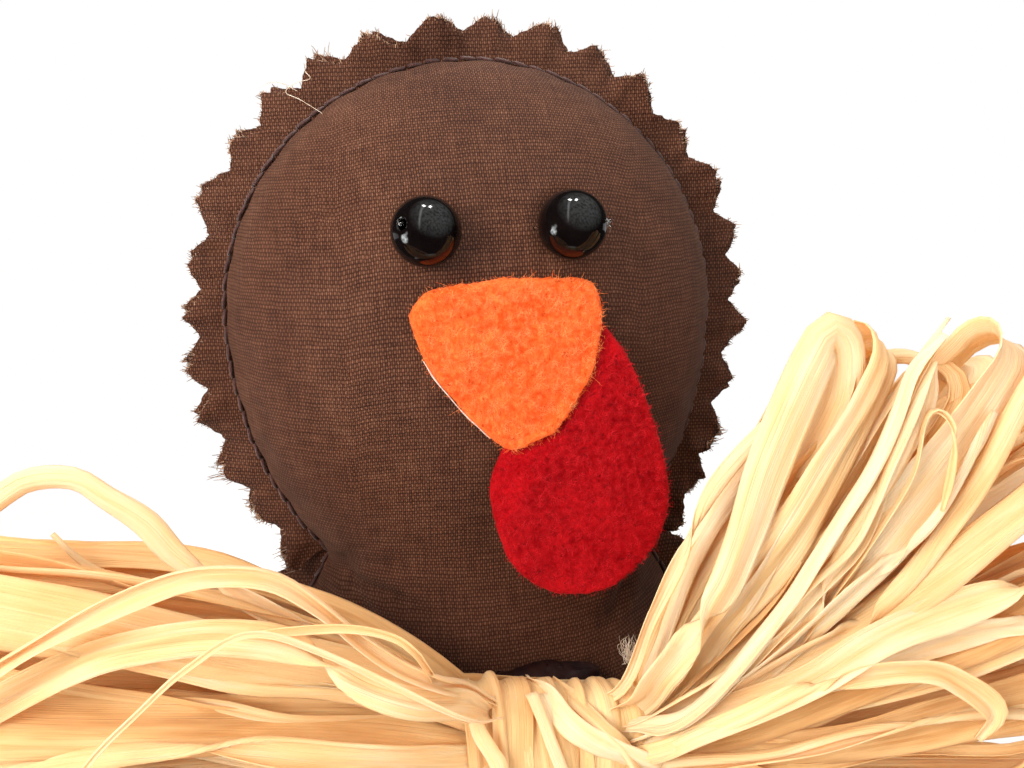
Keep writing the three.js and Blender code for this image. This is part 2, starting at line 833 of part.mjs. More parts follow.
// The strand that crosses the winding slantwise, over the front from the top to the bottom
function tieStationList() {
  const path = bandPath(wrapThickness + clearance);
  const stations = [];
  for (let i = 0; i <= tieStations; i += 1) {
    const share = i / tieStations;
    const turn = tieStartShare + (1 - 2 * tieStartShare) * share;
    stations.push(bandStation(path, turn, bowX + tieTopX + (tieBottomX - tieTopX) * share, tieWidth));
  }
  return stations;
}

// The glue pad between the bunch and the chest, cut to the chest's shape
function bowGlueGeometry(chest) {
  const height = bandHeight * glueHeightShare;
  const width = bandWidth * glueWidthShare;
  const reach = chestDepth;
  const pad = new THREE.CylinderGeometry(width / 2, width / 2, reach, roundSides);
  pad.scale(1, 1, height / width);
  pad.translate(bowX, bandBack + clearance + reach / 2, bowHeight + bandHeight * glueRaiseShare);
  return fromManifold(toManifold(pad).subtract(chest));
}

// Materials

function material(colour, roughness) {
  return new THREE.MeshStandardMaterial({ color: colour, roughness, metalness: 0 });
}

const cloth = material(0x6b4534, 0.9);
const sewingThread = material(0x4a2c20, 0.7);
const backing = material(0xb8a07a, 0.9);
const stuffingWhite = material(0xf2efe8, 1);
const beadBlack = material(0x0a0606, 0.08);
const clearThread = material(0xd8d8d4, 0.3);
const beakFelt = material(0xf57030, 0.95);
const wattleFelt = material(0xb01018, 0.95);
const glueClear = material(0xe8e2d0, 0.35);
const raffia = material(0xf0d09a, 0.7);

// The assembly

const figure = new THREE.Group();
const wattle = new THREE.Group();

function add(parent, name, geometry, look, x = 0, y = 0, z = 0) {
  const mesh = new THREE.Mesh(geometry, look);
  mesh.name = name;
  mesh.position.set(x, y, z);
  parent.add(mesh);
  return mesh;
}

// Cloth body

add(figure, 'front_panel', panelGeometry(-1), cloth);
add(figure, 'back_panel', panelGeometry(1), cloth);
add(figure, 'seam_thread_front', seamThreadGeometry(-1), sewingThread);
add(figure, 'seam_thread_back', seamThreadGeometry(1), sewingThread);

add(figure, 'base_panel', ovalDisc(baseHalf, baseDepth / 2, clothThickness, 0), cloth);
add(figure, 'base_board',
  ovalDisc(baseHalf - boardInset, baseDepth / 2 - boardInset, boardThickness, panelFoot), backing);

add(figure, 'weight_pouch', pouchGeometry(0), backing);

const stuffing = figureSolid(stuffingSeamInset, stuffingSlack);
const span = 2 * (bodySeamWidth + headSeamTop);
const bodyTop = neckHeight - clearance / 2;
const headSpace = boxSolid(span, neckHeight + clearance / 2, span);
const bodySpace = boxSolid(span, pouchFoot, bodyTop);
const pouchSpace = toManifold(pouchGeometry(clearance));
const belowPouch = toManifold(pouchGeometry(clearance).translate(0, 0, -cutOverrun));
const bodySolid = stuffing.intersect(bodySpace).subtract(pouchSpace).subtract(belowPouch);
add(figure, 'head_stuffing', fromManifold(stuffing.intersect(headSpace)), stuffingWhite);
add(figure, 'body_stuffing', fromManifold(bodySolid), stuffingWhite);

// Eyes

for (const [name, side] of [['left', -1], ['right', 1]]) {
  const x = side * eyeSpacing / 2;
  const surface = -panelFront - depthAt(x, eyeHeight);
  const y = surface - clearance - beadDiameter / 2;
  add(figure, `eye_bead_${name}`, beadGeometry(), beadBlack, x, y, eyeHeight);
  const half = beadDiameter / 2 + eyeThreadDiameter;
  const reach = (at) => -panelFront - depthAt(at, eyeHeight) - 2 * clearance - y;
  const thread = eyeThreadGeometry(reach(x - half), reach(x + half));
  add(figure, `eye_thread_${name}`, thread, clearThread, x, y, eyeHeight);
}

// Beak and wattle

const beakEdge = beakOutline();
add(figure, 'beak', overlayGeometry(beakEdge, 2 * clearance + wattleThickness, beakThickness), beakFelt);
const glueEdge = clipAtFold(drawnTogether(beakEdge, beakGlueShare), -1, tabReach + clearance);
add(figure, 'beak_glue', overlayGeometry(glueEdge, clearance, wattleThickness), glueClear);

const drop = wattleOutline();
const tabEdge = clipAtFold(clipAtFold(drop, -1, 0), 1, -tabReach);
add(figure, 'wattle_tab', overlayGeometry(tabEdge, clearance, wattleThickness), wattleFelt);
const lobeBack = -panelFront - headDepth / 2 - clearance;
const lobeEdge = clipAtFold(drop, 1, clearance);
add(wattle, 'wattle_lobe', extrudedFront(lobeEdge, lobeBack, wattleThickness), wattleFelt);

// Raffia bow

const chest = figureSolid(-panelFront, -panelFront - clearance);
add(figure, 'bow_glue', bowGlueGeometry(chest), glueClear);

for (const fan of [leftFan, rightFan]) {
  const name = fan.side < 0 ? 'left' : 'right';
  let number = 1;
  for (const layer of [-1, 1]) {
    for (let row = 0; row < rowsPerLayer; row += 1) {
      const label = String(number).padStart(2, '0');
      add(figure, `raffia_loop_${name}_${label}`, loopGeometry(fan, row, layer), raffia);
      number += 1;
    }
  }
}

for (const strand of looseStrands) {
  add(figure, `raffia_strand_${strand.name}`, looseGeometry(strand), raffia);
}

const wrap = windingStations();
add(figure, 'raffia_band_wrap', strandGeometry(wrap, wrapThickness), raffia);
add(figure, 'raffia_band_tie', strandGeometry(tieStationList(), wrapThickness), raffia);

let wrapGap = Infinity;
for (let i = 0; i + bandStepsPerTurn < wrap.length; i += 1) {
  const near = wrap[i];
  const far = wrap[i + bandStepsPerTurn];
  wrapGap = Math.min(wrapGap, far.at.x - near.at.x - near.width);
}
console.log(`band winding, least gap to itself: ${wrapGap.toFixed(2)} mm`);

const object = new THREE.Group();
object.add(figure, wattle);
export default object;
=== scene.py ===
# A stuffed cloth turkey figure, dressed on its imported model. Sizes are in millimetres until a mesh is made.
import math

import bpy
import numpy as np
from mathutils import Matrix, Vector
from mathutils.bvhtree import BVHTree
from mathutils.kdtree import KDTree


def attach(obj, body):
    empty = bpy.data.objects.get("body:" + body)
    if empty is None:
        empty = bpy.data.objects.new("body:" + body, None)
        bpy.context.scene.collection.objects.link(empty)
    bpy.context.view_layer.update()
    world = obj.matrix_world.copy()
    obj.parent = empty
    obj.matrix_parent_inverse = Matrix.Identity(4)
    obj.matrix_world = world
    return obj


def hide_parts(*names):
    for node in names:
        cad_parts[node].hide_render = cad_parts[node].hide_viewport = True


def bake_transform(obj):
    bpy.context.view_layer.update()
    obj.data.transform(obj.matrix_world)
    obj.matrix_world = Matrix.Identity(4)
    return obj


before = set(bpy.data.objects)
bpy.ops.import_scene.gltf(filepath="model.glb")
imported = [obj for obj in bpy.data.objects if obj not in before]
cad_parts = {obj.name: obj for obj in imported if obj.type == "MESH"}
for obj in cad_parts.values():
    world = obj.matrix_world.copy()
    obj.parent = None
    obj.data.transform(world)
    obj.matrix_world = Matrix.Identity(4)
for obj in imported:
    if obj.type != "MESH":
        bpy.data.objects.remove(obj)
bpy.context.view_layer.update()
bpy.context.scene.view_settings.view_transform = "Standard"

MM = 0.001
FIGURE = "figure"

# Camera, at the photograph's viewing angle
camera_yaw = -9.6
camera_elevation = 11.4
camera_roll = -2.25
camera_target = (5.0, 0.0, 91.9)
camera_distance = 147
camera_focal = 36.35
camera_clip = 5
sensor_width = 36

# White room
world_colour = (1.0, 0.985, 0.96, 1)
world_strength = 0.42

# Lamps: place, width, height, power and colour
lamp_aim = (0, -10, 80)
lamps = {
    "window": ((-320, -310, 270), 260, 240, 3.2, (1.0, 0.97, 0.93)),
    "room_fill": ((300, -420, 190), 420, 360, 0.85, (1.0, 0.95, 0.9)),
    "rear_fill": ((60, 300, 400), 420, 300, 1.4, (0.98, 0.98, 1.0)),
}
# Two small lamps overhead that the beads mirror: across and back, then width, height, power and colour
ceiling_places = [(-16, -20), (62, -38)]
ceiling_height = 420
ceiling_lamp = (46, 30, 0.3, (1.0, 0.98, 0.95))

# Dim room on the viewer's side, a glowing shell that only gloss mirrors and that paints reflections: how far
# away, where its floor starts, how far round
room_radius = 560
room_floor_start = 62
room_lift = 1
room_turn = 205
room_back_rise = 8
room_around = 72
room_rings = 28
room_colour = (0.93, 1.0, 0.97, 1)
room_level = 0.035
# Painted reflections that stand out in it: direction, half angle in degrees and brightness
room_spots = [
    ((0.32, -0.55, 0.74), 72, 2.1),
    ((-0.957, -0.15, -0.24), 14, 26.0),
    ((-0.93, -0.32, -0.02), 7, 8.0),
]
# A painted reflection of a window's edge: the plane it lies in, the middle of what shows, half its width and
# its brightness
room_streak = ((0.9, -0.425, 0.07), (-0.356, -0.541, 0.782), 0.08, 5.0)
streak_ends = (0.72, 0.95)

# Floor: real near the figure, fading into the white of the room
floor_half = 900
floor_real_reach = 150
floor_white_reach = 330
floor_colour = (0.86, 0.85, 0.83, 1)
floor_roughness = 0.85

# Seam line and depth of the stuffed figure
head_half = 33.25
head_widest_height = 102.5
head_seam_top = 136
neck_half = 21.8
neck_height = 70
body_half = 41.5
body_widest_height = 22
base_half = 37.5
neck_flare_share = 0.62
head_depth = 24
neck_depth = 17
body_depth = 28
base_depth = 25
crown_power_share = 0.62
seam_smoothing = 1.5
seam_steps = 1400
form_rings = 84
form_around = 112

# Weave of the cloth: the pitch and the wander of its threads, its relief and its colours
weft_pitch = 0.46
warp_pitch = 0.283
warp_wander = 0.35
weft_wander = 0.6
weave_under_share = 0.71
weave_relief = 0.032
cloth_colours = [(0.05, (38, 17, 10)), (0.4, (74, 43, 29)), (0.75, (107, 71, 53)), (1.0, (134, 97, 77))]
slope_step = 0.2
steepest_slope = 4
arc_reach = 18

# Seam and stitches
cloth_thickness = 0.5
panel_front = 0.65
panel_foot = 0.8
stitch_pitch = 2.35
stitch_reach = 0.35
stitch_thickness = 0.52
stitch_dip = 0.35
stitch_rise = 0.75
stitch_skew = 0.13
stitch_stray = 0.05
stitch_seed = 41
pucker_reach = 2.6
pucker_relief = 0.32
thread_relief = 0.05

# Pinked seam allowance. A wave is its size, seed, number of waves and longest wave
seam_allowance = 6.2
allowance_lean = 2.0
allowance_inset = 0.8
allowance_steps = 1500
allowance_rows = 8
tooth_pitch = 6.8
tooth_depth = 2.6
tooth_spacing_wave = (0.12, 15, 5, 40)
tooth_depth_wave = (0.35, 5, 4, 7)
tooth_tilt_wave = (0.75, 23, 3, 9)
ragged_wave = (0.12, 11, 9, 4)
fine_ragged_wave = (0.13, 12, 9, 1.7)
curled_in_wave = (0.5, 24, 5, 38)
flutter_wave = (1.5, 21, 5, 46)
fine_flutter_wave = (0.8, 22, 4, 13)
neck_fold = 2.4
neck_fold_shift = 3.5
neck_fold_width = 3
layer_clearance = 0.06
layer_gap = 0.28
layer_gap_wave = (0.22, 31, 4, 9)
far_from_seam = 9

# Loose thread ends along the cut edge
fray_count = 2100
fray_seed = 51
fray_thickness = 0.15
fray_root = 0.3
fray_stray = 0.1
nap_length = 0.14
nap_extra = 0.13
tuft_count = 18
tuft_threads = (3, 8)
tuft_lengths = (0.5, 1.5)

# Cloth simulation, run on a copy ten times as large
simulation_scale = 10
voxel_size = 1.7
simulation_frames = 20
simulation_cap = 2.2
pin_share = 0.55
pinned_foot = 2.5
seam_hold = 9
seam_give_share = 0.2
cloth_settings = {
    "quality": 6, "uniform_pressure_force": 4, "shrink_min": -0.035, "tension_stiffness": 20,
    "compression_stiffness": 12, "shear_stiffness": 6, "bending_stiffness": 0.6,
}

# Evening out round the neck
evening_rounds = 60
evening_share = 0.6
evening_start = 3
evening_reach = 9

# Creases that run out from the neck: angle, length and depth
neck_creases = [(200, 17, 0.75), (228, 15, 0.6), (165, 13, 0.5), (140, 11, 0.35)]
crease_start = 3
crease_fade_share = 0.7
crease_width = 1
crease_lip = 2.2
crease_lip_width = 1.4

# How the seam and its stitches draw the cloth in
seam_draw_width = 2.6
seam_draw_foot = 3
seam_draw_fade = 5
pull_height = 0.34
pull_sink = 0.22
pull_middle = 2.2
pull_width = 2.4

# Eyes
bead_radius = 4
bead_bore = 0.6
bead_rim = 0.35
bead_around = 72
eye_spacing = 16.8
eye_height = 115.2
bead_out = 25.7
bead_axes = {"left": (0.73, 0.62, -0.26), "right": (0.95, -0.26, 0.06)}
eye_dimple = 1
eye_dimple_width = 2.6
eye_swell = 0.75
eye_swell_radius = 4.6
eye_swell_width = 2
eye_thread_radius = 0.16
eye_thread_depth = 4.5
knot_loops = {"left": 2, "right": 7}
knot_spread = 0.2
knot_reach = 0.45
knot_thickness = 0.12
glossy_relief = 0.02

# Felt beak: across its width and up its height, from the tip
beak_thickness = 1.6
beak_width = 22.4
beak_height = 20.2
beak_tip = (0.5, 89.2)
beak_outline_shares = [
    (0, 0), (0.12, 0.05), (0.26, 0.17), (0.4, 0.41), (0.475, 0.64), (0.495, 0.8), (0.455, 0.93),
    (0.34, 0.985), (0, 1), (-0.33, 0.97), (-0.45, 0.9), (-0.5, 0.78), (-0.43, 0.53), (-0.28, 0.28),
    (-0.1, 0.07),
]
beak_edge_count = 260
beak_sink = 0.25
tab_reach = 6
lift_start = 6
lift_reach = 9
felt_press = 0.1
ray_start = 90
front_sample = 2.4
diagonal_sample = 1.4

# Felt wattle: a drop that bends about the fold line under the beak
wattle_thickness = 1.5
wattle_top = (9.6, 105.2)
wattle_right = (19.2, 83)
wattle_left = (-2.4, 83)
wattle_bottom = (8.2, 70.5)
wattle_top_round = 3.4
wattle_round_share = 0.55
wattle_neck_share = 0.25
wattle_edge_count = 300
wattle_out = 0.3
wattle_curl_wave = (0.3, 71, 2, 40)
wattle_curl_reach = 8
fold_low = (3, 87.9)
fold_high = (13.7, 102.1)
lobe_out = 24.95
hang_start = 3.5
hang_reach = 5

# Felt: how its sheets are laid out, and the fibres that stand off them
felt_rows = 30
felt_shares = 1 - np.linspace(1, 0, felt_rows) ** 1.7
felt_ragged = 0.16
felt_lump = 0.04
felt_fibre_relief = 0.24
felt_lump_relief = 0.2
orange_felt_colours = ((206, 66, 14), (234, 92, 34), (250, 128, 62), (255, 190, 140))
red_felt_colours = ((112, 0, 6), (150, 1, 9), (184, 13, 22), (255, 100, 100))
beak_fuzz_count = 11000
wattle_fuzz_count = 13000
fuzz_length = 0.3
fuzz_extra = 0.25
longest_fuzz = 1.1
longest_edge_fuzz = 0.5
fuzz_out_share = 0.35
fuzz_stray = 0.16
fuzz_thickness = 0.042

# The line of glue that shows along the beak's left edge lies left of and below this place
glue_line = (-1.5, 100.5)
glue_line_out = 0.12
glue_line_stray = 0.16
glue_line_lift = 0.35
glue_line_relief = 0.3
glue_line_radius = 0.17
pale_glue_relief = 0.05

# Glue behind the bow: places beside the bow's middle, half sizes, seeds and roughness
glue_lumps = [
    ((0, -21.4, 53.4), (7.2, 4.2, 6.2), 501, 0.08),
    ((-4.6, -21.6, 57.0), (4.4, 2.2, 1.9), 502, 0.12),
    ((4.0, -21.4, 57.2), (4.6, 2.2, 1.9), 503, 0.12),
]
glue_relief = 0.3

# Pale hairs that lie on the frill, and where a wisp stands out of the glue
stray_hair_places = [
    [(-17.2, -3.2, 128.4), (-18.6, -3.4, 129.5), (-21.4, -3.3, 131.4), (-23.2, -3.0, 132.4),
     (-21.9, -3.1, 133.5), (-20, -3.1, 134), (-20.6, -2.8, 134.9)],
    [(-26.4, -2.2, 133.2), (-25, -2.6, 133.7), (-23.4, -2.6, 133.5), (-21.8, -2.2, 132.6)],
]
hair_radius = 0.042
wisp_place = (14.2, -25.2, 60.4)
wisp_way = (0.1, -0.5, 2.3)
wisp_count = 46
wisp_root_spread = 0.35
wisp_spread = 0.7
wisp_thickness = 0.07

# Raffia leaves
strand_thickness = 0.16
leaf_curl = 1.5
flatter_curl_share = 0.45
main_leaf_width = 8
gathered_curl = 3.6
gathered_width = 3.4
strand_root_curl = 3.4
crease_wander_length = 80
crease_turn_length = 50
ridge_drift_length = 60
full_pleat_width = 3
leaf_relief = 0.16
raffia_colours = [
    (0.28, (222, 163, 94)), (0.43, (249, 207, 140)), (0.56, (254, 226, 166)), (0.74, (255, 243, 208))]
raffia_through_colour = (255, 222, 166)
raffia_through_share = 0.34

# Raffia bow
bow_x = 2.8
bow_height = 53
band_width = 21
band_height = 23
band_depth = 12
band_middle = -30.9
band_squareness = 2.5
band_slope = 0.22
band_turns = 6
band_tilt = 0.19
band_squash = 0.88
band_lap = 0.35
wrap_steps = 70
wrap_lifts = (0.0, 0.24, 0.12)
wrap_lift_wave = (0.1, 320, 4, 0.8)
wrap_stray_wave = (0.5, 310, 3, 1.0)
tie_width = 4
tie_top = -2
tie_bottom = 7.5
pack_share = 0.66
pack_reach_share = 0.4
bunch_half_depth = 5.1
row_pitch = 2.85
rows_per_layer = 7
layer_spread = 4.5
loop_leg_gap = 2.2
loop_bulge = 3.4
loop_tip_gaps = (0.9, 2.4)
leg_wander = 1.5
leg_shift = 0.45
leg_sway = 1.6
end_wander = 2.2
end_shift = 0.4
end_turn = 8
end_sway = 1.2
end_dip = 4
# The fans: side, lowest and highest angle, how a row sets out, its length share for each row, and seed
fan_length = 62
fan_root = 0.5
fans = {
    "left": {
        "side": -1, "low": -28, "high": 23, "start_turn": 1.5, "start": 0.42, "seed": 100,
        "lengths": [0.94, 1.04, 1.12, 1.16, 1.14, 1.08, 0.98],
    },
    "right": {
        "side": 1, "low": -24, "high": 57, "start_turn": 0.85, "start": 0.3, "seed": 200,
        "lengths": [0.98, 1.06, 1.1, 1.12, 1.08, 0.95, 0.76],
    },
}

# Strips that lie slantwise over the band: places, width and seed
band_slants = [
    ([
        (0.6, -29, 61.6), (1.8, -33.4, 61.4), (4, -37.3, 59.4), (7, -38, 57.2), (10.6, -38, 55.2),
        (13.6, -37.4, 53.2), (15.4, -33, 50.6)], 3.3, 381),
    ([
        (3.4, -29, 61.2), (5, -33.6, 60.8), (7.6, -37.4, 58.9), (9.8, -38, 56.6), (11.6, -38, 53.2),
        (13.8, -37.2, 50), (15, -33, 47)], 2.4, 383),
    ([
        (-7, -30, 63), (-6.9, -34, 62.6), (-6.6, -37.3, 60.4), (-5.4, -37.9, 58), (-4.5, -37.9, 55.6),
        (-4.8, -37.5, 50)],
     1.9, 385),
]
# Loose strands: places along each, width, lengthwise curl and the shares of its length where it turns over
loose_strands = [
    ("left_01", [
        (2, -30.9, 58.7), (-8, -31.2, 58.9), (-17, -32, 66), (-27.5, -33, 74.5), (-36.6, -33.5, 82),
        (-40.1, -33.5, 86.7), (-43.7, -33.5, 89.8), (-46.6, -33.5, 92.1), (-50.7, -33.5, 92.4),
        (-54, -33.5, 90.8), (-62, -32, 85)],
        3.0, 1.4, (0.55,)),
    ("left_02", [
        (2, -32.5, 61), (-8, -36.5, 61.6), (-12.2, -43.4, 71.4), (-13.6, -45, 74.4), (-16, -45, 76.4),
        (-20.8, -45, 77.8), (-29.5, -45, 78.2)], 1.2, 1.6, ()),
    ("left_03", [
        (2, -30.9, 50.2), (-8, -31, 50.1), (-24, -36, 52), (-40, -40, 44), (-53, -40, 39.5),
        (-67, -38, 42)],
        3.6, 1.0, (0.6,)),
    ("right_01", [
        (3.5, -32, 59), (10.4, -34.5, 61.6), (13.8, -36, 70.7), (17.4, -36, 77.6), (22.1, -36, 86.6),
        (31.6, -36, 95), (44, -35, 99), (54, -34, 94)], 2.3, 2.2, (0.4,)),
    ("right_02", [
        (3.5, -30.9, 53), (13, -31, 53), (24, -37, 56), (42, -42, 66), (60, -43, 68), (75, -40, 61)],
        4.2, 1.0, (0.75,)),
    ("drop", [
        (-4, -38, 62), (-9, -44, 66), (-22, -47, 76), (-29, -48, 79.5), (-34.8, -48.5, 77.1),
        (-39.7, -48.5, 73.2), (-45.2, -48.5, 68), (-50, -48, 60)], 0.8, 1.6, ()),
    ("ribbon", [
        (-4, -34, 60), (-8.2, -40, 65.2), (-14, -44.5, 68.6), (-19.5, -45, 71.6), (-24.8, -45, 76),
        (-30.4, -45, 77.9), (-36, -45, 78.4), (-44.4, -44, 77), (-52.9, -43, 73.4), (-66, -41, 66)],
        4.0, 0.5, (0.36,)),
    ("left_04", [
        (-3, -34, 61), (-7.6, -38, 66), (-10.8, -42.6, 69.2), (-15, -43.4, 72), (-19, -43.6, 75.6),
        (-22.6, -43.6, 79.4), (-26.4, -43.6, 82.6), (-30.6, -44, 84), (-36, -44.6, 84.1),
        (-44.3, -45.4, 81.6), (-52.9, -46, 77.5), (-66, -45, 69)], 3.4, 0.8, ()),
    ("left_05", [
        (1, -33, 56), (-8.6, -37, 57), (-20, -42.5, 62), (-34, -44, 66), (-50, -43, 66), (-64, -41, 62),
        (-73, -39, 60)],
        4.6, 4.6, (0.5,)),
    ("left_06", [
        (1, -33, 54), (-8.6, -37, 54), (-22, -43, 57.5), (-38, -44.5, 58), (-54, -43, 54),
        (-68, -40, 53)],
        3.8, 1.2, (0.3, 0.7)),
    ("right_03", [
        (3.5, -32, 57), (11.6, -35.6, 59.8), (13.9, -39.5, 65.4), (16.8, -41.6, 71), (20.2, -42, 76),
        (22.7, -42, 81.8), (25.2, -42, 89.1), (28.1, -42, 95.9), (30.4, -42, 100.8),
        (32.2, -41.4, 103.2), (34.2, -40.6, 101.6), (34.6, -40, 97), (32.9, -39.4, 92), (30, -38.6, 87)],
        5.6, 0.7, (0.31,)),
    ("right_04", [
        (3.5, -32, 56), (11.8, -36, 58), (17.2, -41.6, 62), (26.5, -43, 73.3), (33.6, -43, 83.6),
        (36.7, -43, 88.4), (39.7, -43, 94.7), (41.6, -43, 99), (44.6, -43, 102.6)], 4.4, 4.8, ()),
    ("right_05", [
        (3.5, -32, 55), (12, -36, 57), (16.1, -41.4, 60.4), (22.9, -43, 67.4), (30.2, -43, 75),
        (34.9, -43, 79.2), (37.4, -43, 83.7), (39.3, -43, 89.7), (41.3, -43, 94.6), (43.6, -43, 99.8)],
        4.0, 4.8, ()),
    ("right_06", [
        (3.5, -32, 55), (12, -36, 56.8), (21.7, -41, 65.4), (28.1, -42, 70), (32.3, -42, 75),
        (39.5, -42, 87.3), (43.4, -42, 95.2), (44.4, -41, 99)], 4.2, 3.9, (0.55,)),
    ("right_07", [
        (3.5, -32, 54), (12, -36, 55.6), (20.7, -41, 63.4), (35.6, -42, 74.6), (43, -42, 79.9),
        (48.2, -42, 87.1), (51.6, -42, 93.5)], 3.8, 1.4, (0.7,)),
    ("right_08", [
        (3.5, -32, 53), (12.4, -37, 55.6), (17.8, -42, 60.6), (28.9, -44, 64.9), (39, -44, 69.6),
        (54.9, -44, 73.5), (68, -43, 75)], 4.6, 0.9, (0.82,)),
    ("right_09", [
        (3.5, -32, 54), (12.2, -36, 55.6), (20, -40, 61), (29.7, -41, 66.2), (39.5, -41, 71.2),
        (49.1, -41, 81.9), (55.7, -41, 94), (60, -40, 100)], 5.2, 1.0, (0.5,)),
    ("right_10", [
        (30, -41, 68), (36, -42.5, 78), (41.4, -43, 87), (42.6, -43.4, 93.4), (44, -43.8, 94.4),
        (45.6, -44, 92), (45.4, -44, 87.3), (44.8, -43.6, 83.2)], 1.5, 1.6, (0.8,)),
    ("right_11", [
        (3.5, -33, 53), (12.6, -38, 55), (21.5, -44, 61.5), (31, -45, 65.2), (41.8, -45.4, 65.6),
        (46.9, -45.6, 63.4), (51.1, -45.6, 59.4), (49.4, -45, 56)], 3.6, 1.2, (0.55,)),
    ("right_12", [
        (3.5, -32, 52), (12.6, -36, 52.6), (26, -41.5, 55), (40, -43, 57.5), (56, -42.6, 57),
        (72, -41, 50)],
        4.4, 4.4, (0.6,)),
]


# Small helpers

def smooth_share(share):
    s = np.clip(share, 0, 1)
    return s * s * (3 - 2 * s)


def ellipse_share(share):
    return np.sqrt(np.maximum(0, 1 - share * share))


def hump(away, width):
    """1 where `away` is 0, falling smoothly to nearly 0 at twice the width."""
    return np.exp(-(away / width) ** 2)


def unit(vectors):
    """The same directions with length 1."""
    return vectors / np.maximum(np.linalg.norm(vectors, axis=-1, keepdims=True), 1e-9)


def run_along(line):
    """Distances along a line of points, from its start."""
    return np.concatenate([[0], np.cumsum(np.linalg.norm(np.diff(line, axis=0), axis=1))])


def places_at(at, run, line):
    """Places at given distances along a line of points."""
    return np.stack([np.interp(at, run, column) for column in np.transpose(line)], axis=1)


def curve_through(corners, steps):
    """Places on a smooth curve through all corners but the first and the last, which only steer it."""
    t = np.linspace(0, 1, steps, endpoint=False)[:, None]
    return np.concatenate([
        0.5 * (2 * b + (c - a) * t + (2 * a - 5 * b + 4 * c - d) * t ** 2 + (3 * b - a - 3 * c + d) * t ** 3)
        for a, b, c, d in zip(corners, corners[1:], corners[2:], corners[3:])])


def even_places(line, count):
    """Evenly spaced places round a closed line."""
    closed = np.concatenate([line, line[:1]])
    run = run_along(closed)
    return places_at(np.linspace(0, run[-1], count, endpoint=False), run, closed)


def smooth_line(corners, count):
    """Evenly spaced places along an open smooth curve through the corners."""
    corners = np.asarray(corners, float)
    steered = np.concatenate([2 * corners[:1] - corners[1:2], corners, 2 * corners[-1:] - corners[-2:-1]])
    line = np.concatenate([curve_through(steered, 30), corners[-1:]])
    run = run_along(line)
    return places_at(np.linspace(0, run[-1], count), run, line)


def wave_noise(values, seed, waves=5, slowest=1.0):
    """A smooth random curve between about -1 and 1, whose longest wave is `slowest` long."""
    draw = np.random.default_rng(seed)
    values = np.asarray(values, float)
    total = np.zeros_like(values)
    weight = 0
    for k in range(1, waves + 1):
        phase = draw.uniform(0, 2 * math.pi)
        stretch = draw.uniform(0.8, 1.25)
        total += np.sin(2 * math.pi * k * stretch * values / slowest + phase) / k
        weight += 1 / k ** 2
    return total / math.sqrt(2 * weight)


def waved(values, wave, shift=0):
    """Wave noise from a row of settings: its size, seed, number of waves and longest wave."""
    size, seed, waves, slowest = wave
    return size * wave_noise(values, seed + shift, waves, slowest)


def ring_faces(rings, around, inward=False, ends=True):
    """Faces over rings of points that follow one another, with or without the two ends."""
    start = np.arange(rings - 1)[:, None] * around
    k = np.arange(around)
    after = (k + 1) % around
    corners = [start + k, start + after, start + around + after, start + around + k]
    if inward:
        corners = corners[:1] + corners[:0:-1]
    faces = [tuple(face) for face in np.stack(corners, axis=-1).reshape(-1, 4).tolist()]
    if ends:
        first = tuple(range(around))
        last = tuple((rings - 1) * around + k for k in first)
        faces += [first, last[::-1]] if inward else [first[::-1], last]
    return faces


def joined(parts):
    """Several (points, faces) as one."""
    points, faces, start = [], [], 0
    for part_points, part_faces in parts:
        points.append(part_points)
        faces.extend(tuple(i + start for i in face) for face in part_faces)
        start += len(part_points)
    return np.concatenate(points), faces


def make_object(name, points, faces, smooth=True):
    mesh = bpy.data.meshes.new(name)
    mesh.from_pydata((np.asarray(points, float) * MM).tolist(), [], faces)
    mesh.update()
    if smooth:
        mesh.shade_smooth()
    made = bpy.data.objects.new(name, mesh)
    bpy.context.scene.collection.objects.link(made)
    return made


def vertex_values(made, name):
    flat = np.empty(len(made.data.vertices) * 3, np.float32)
    made.data.vertices.foreach_get(name, flat)
    return flat.reshape(-1, 3).astype(float)


def vertex_places(made):
    """The vertices of a mesh object in millimetres."""
    return vertex_values(made, "co") / MM


def set_places(made, points):
    made.data.vertices.foreach_set("co", (points * MM).ravel())
    made.data.update()


def set_uv(made, name, values):
    """One pair of numbers per vertex, kept as a UV layer in millimetres."""
    layer = made.data.uv_layers.new(name=name)
    corners = np.empty(len(made.data.loops), np.int32)
    made.data.loops.foreach_get("vertex_index", corners)
    layer.data.foreach_set("uv", np.asarray(values, np.float32)[corners].ravel())


def set_value(made, name, values):
    """One number per vertex, kept as a named attribute."""
    attribute = made.data.attributes.new(name, "FLOAT", "POINT")
    attribute.data.foreach_set("value", np.asarray(values, np.float32))


def applied(made):
    """Puts the object's modifiers into its mesh."""
    evaluated = made.evaluated_get(bpy.context.evaluated_depsgraph_get())
    mesh = bpy.data.meshes.new_from_object(evaluated)
    made.modifiers.clear()
    made.data = mesh
    mesh.shade_smooth()


def dress(made, material, body=FIGURE, nodes=()):
    made.data.materials.clear()
    made.data.materials.append(material)
    if body:
        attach(made, body)
    if nodes:
        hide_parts(*nodes)
    return made


# Seam outline and depth

def by_level(z, crown, cheek, skirt, foot):
    levels = [z >= head_widest_height, z >= neck_height, z >= body_widest_height]
    return np.select(levels, [crown, cheek, skirt], foot)


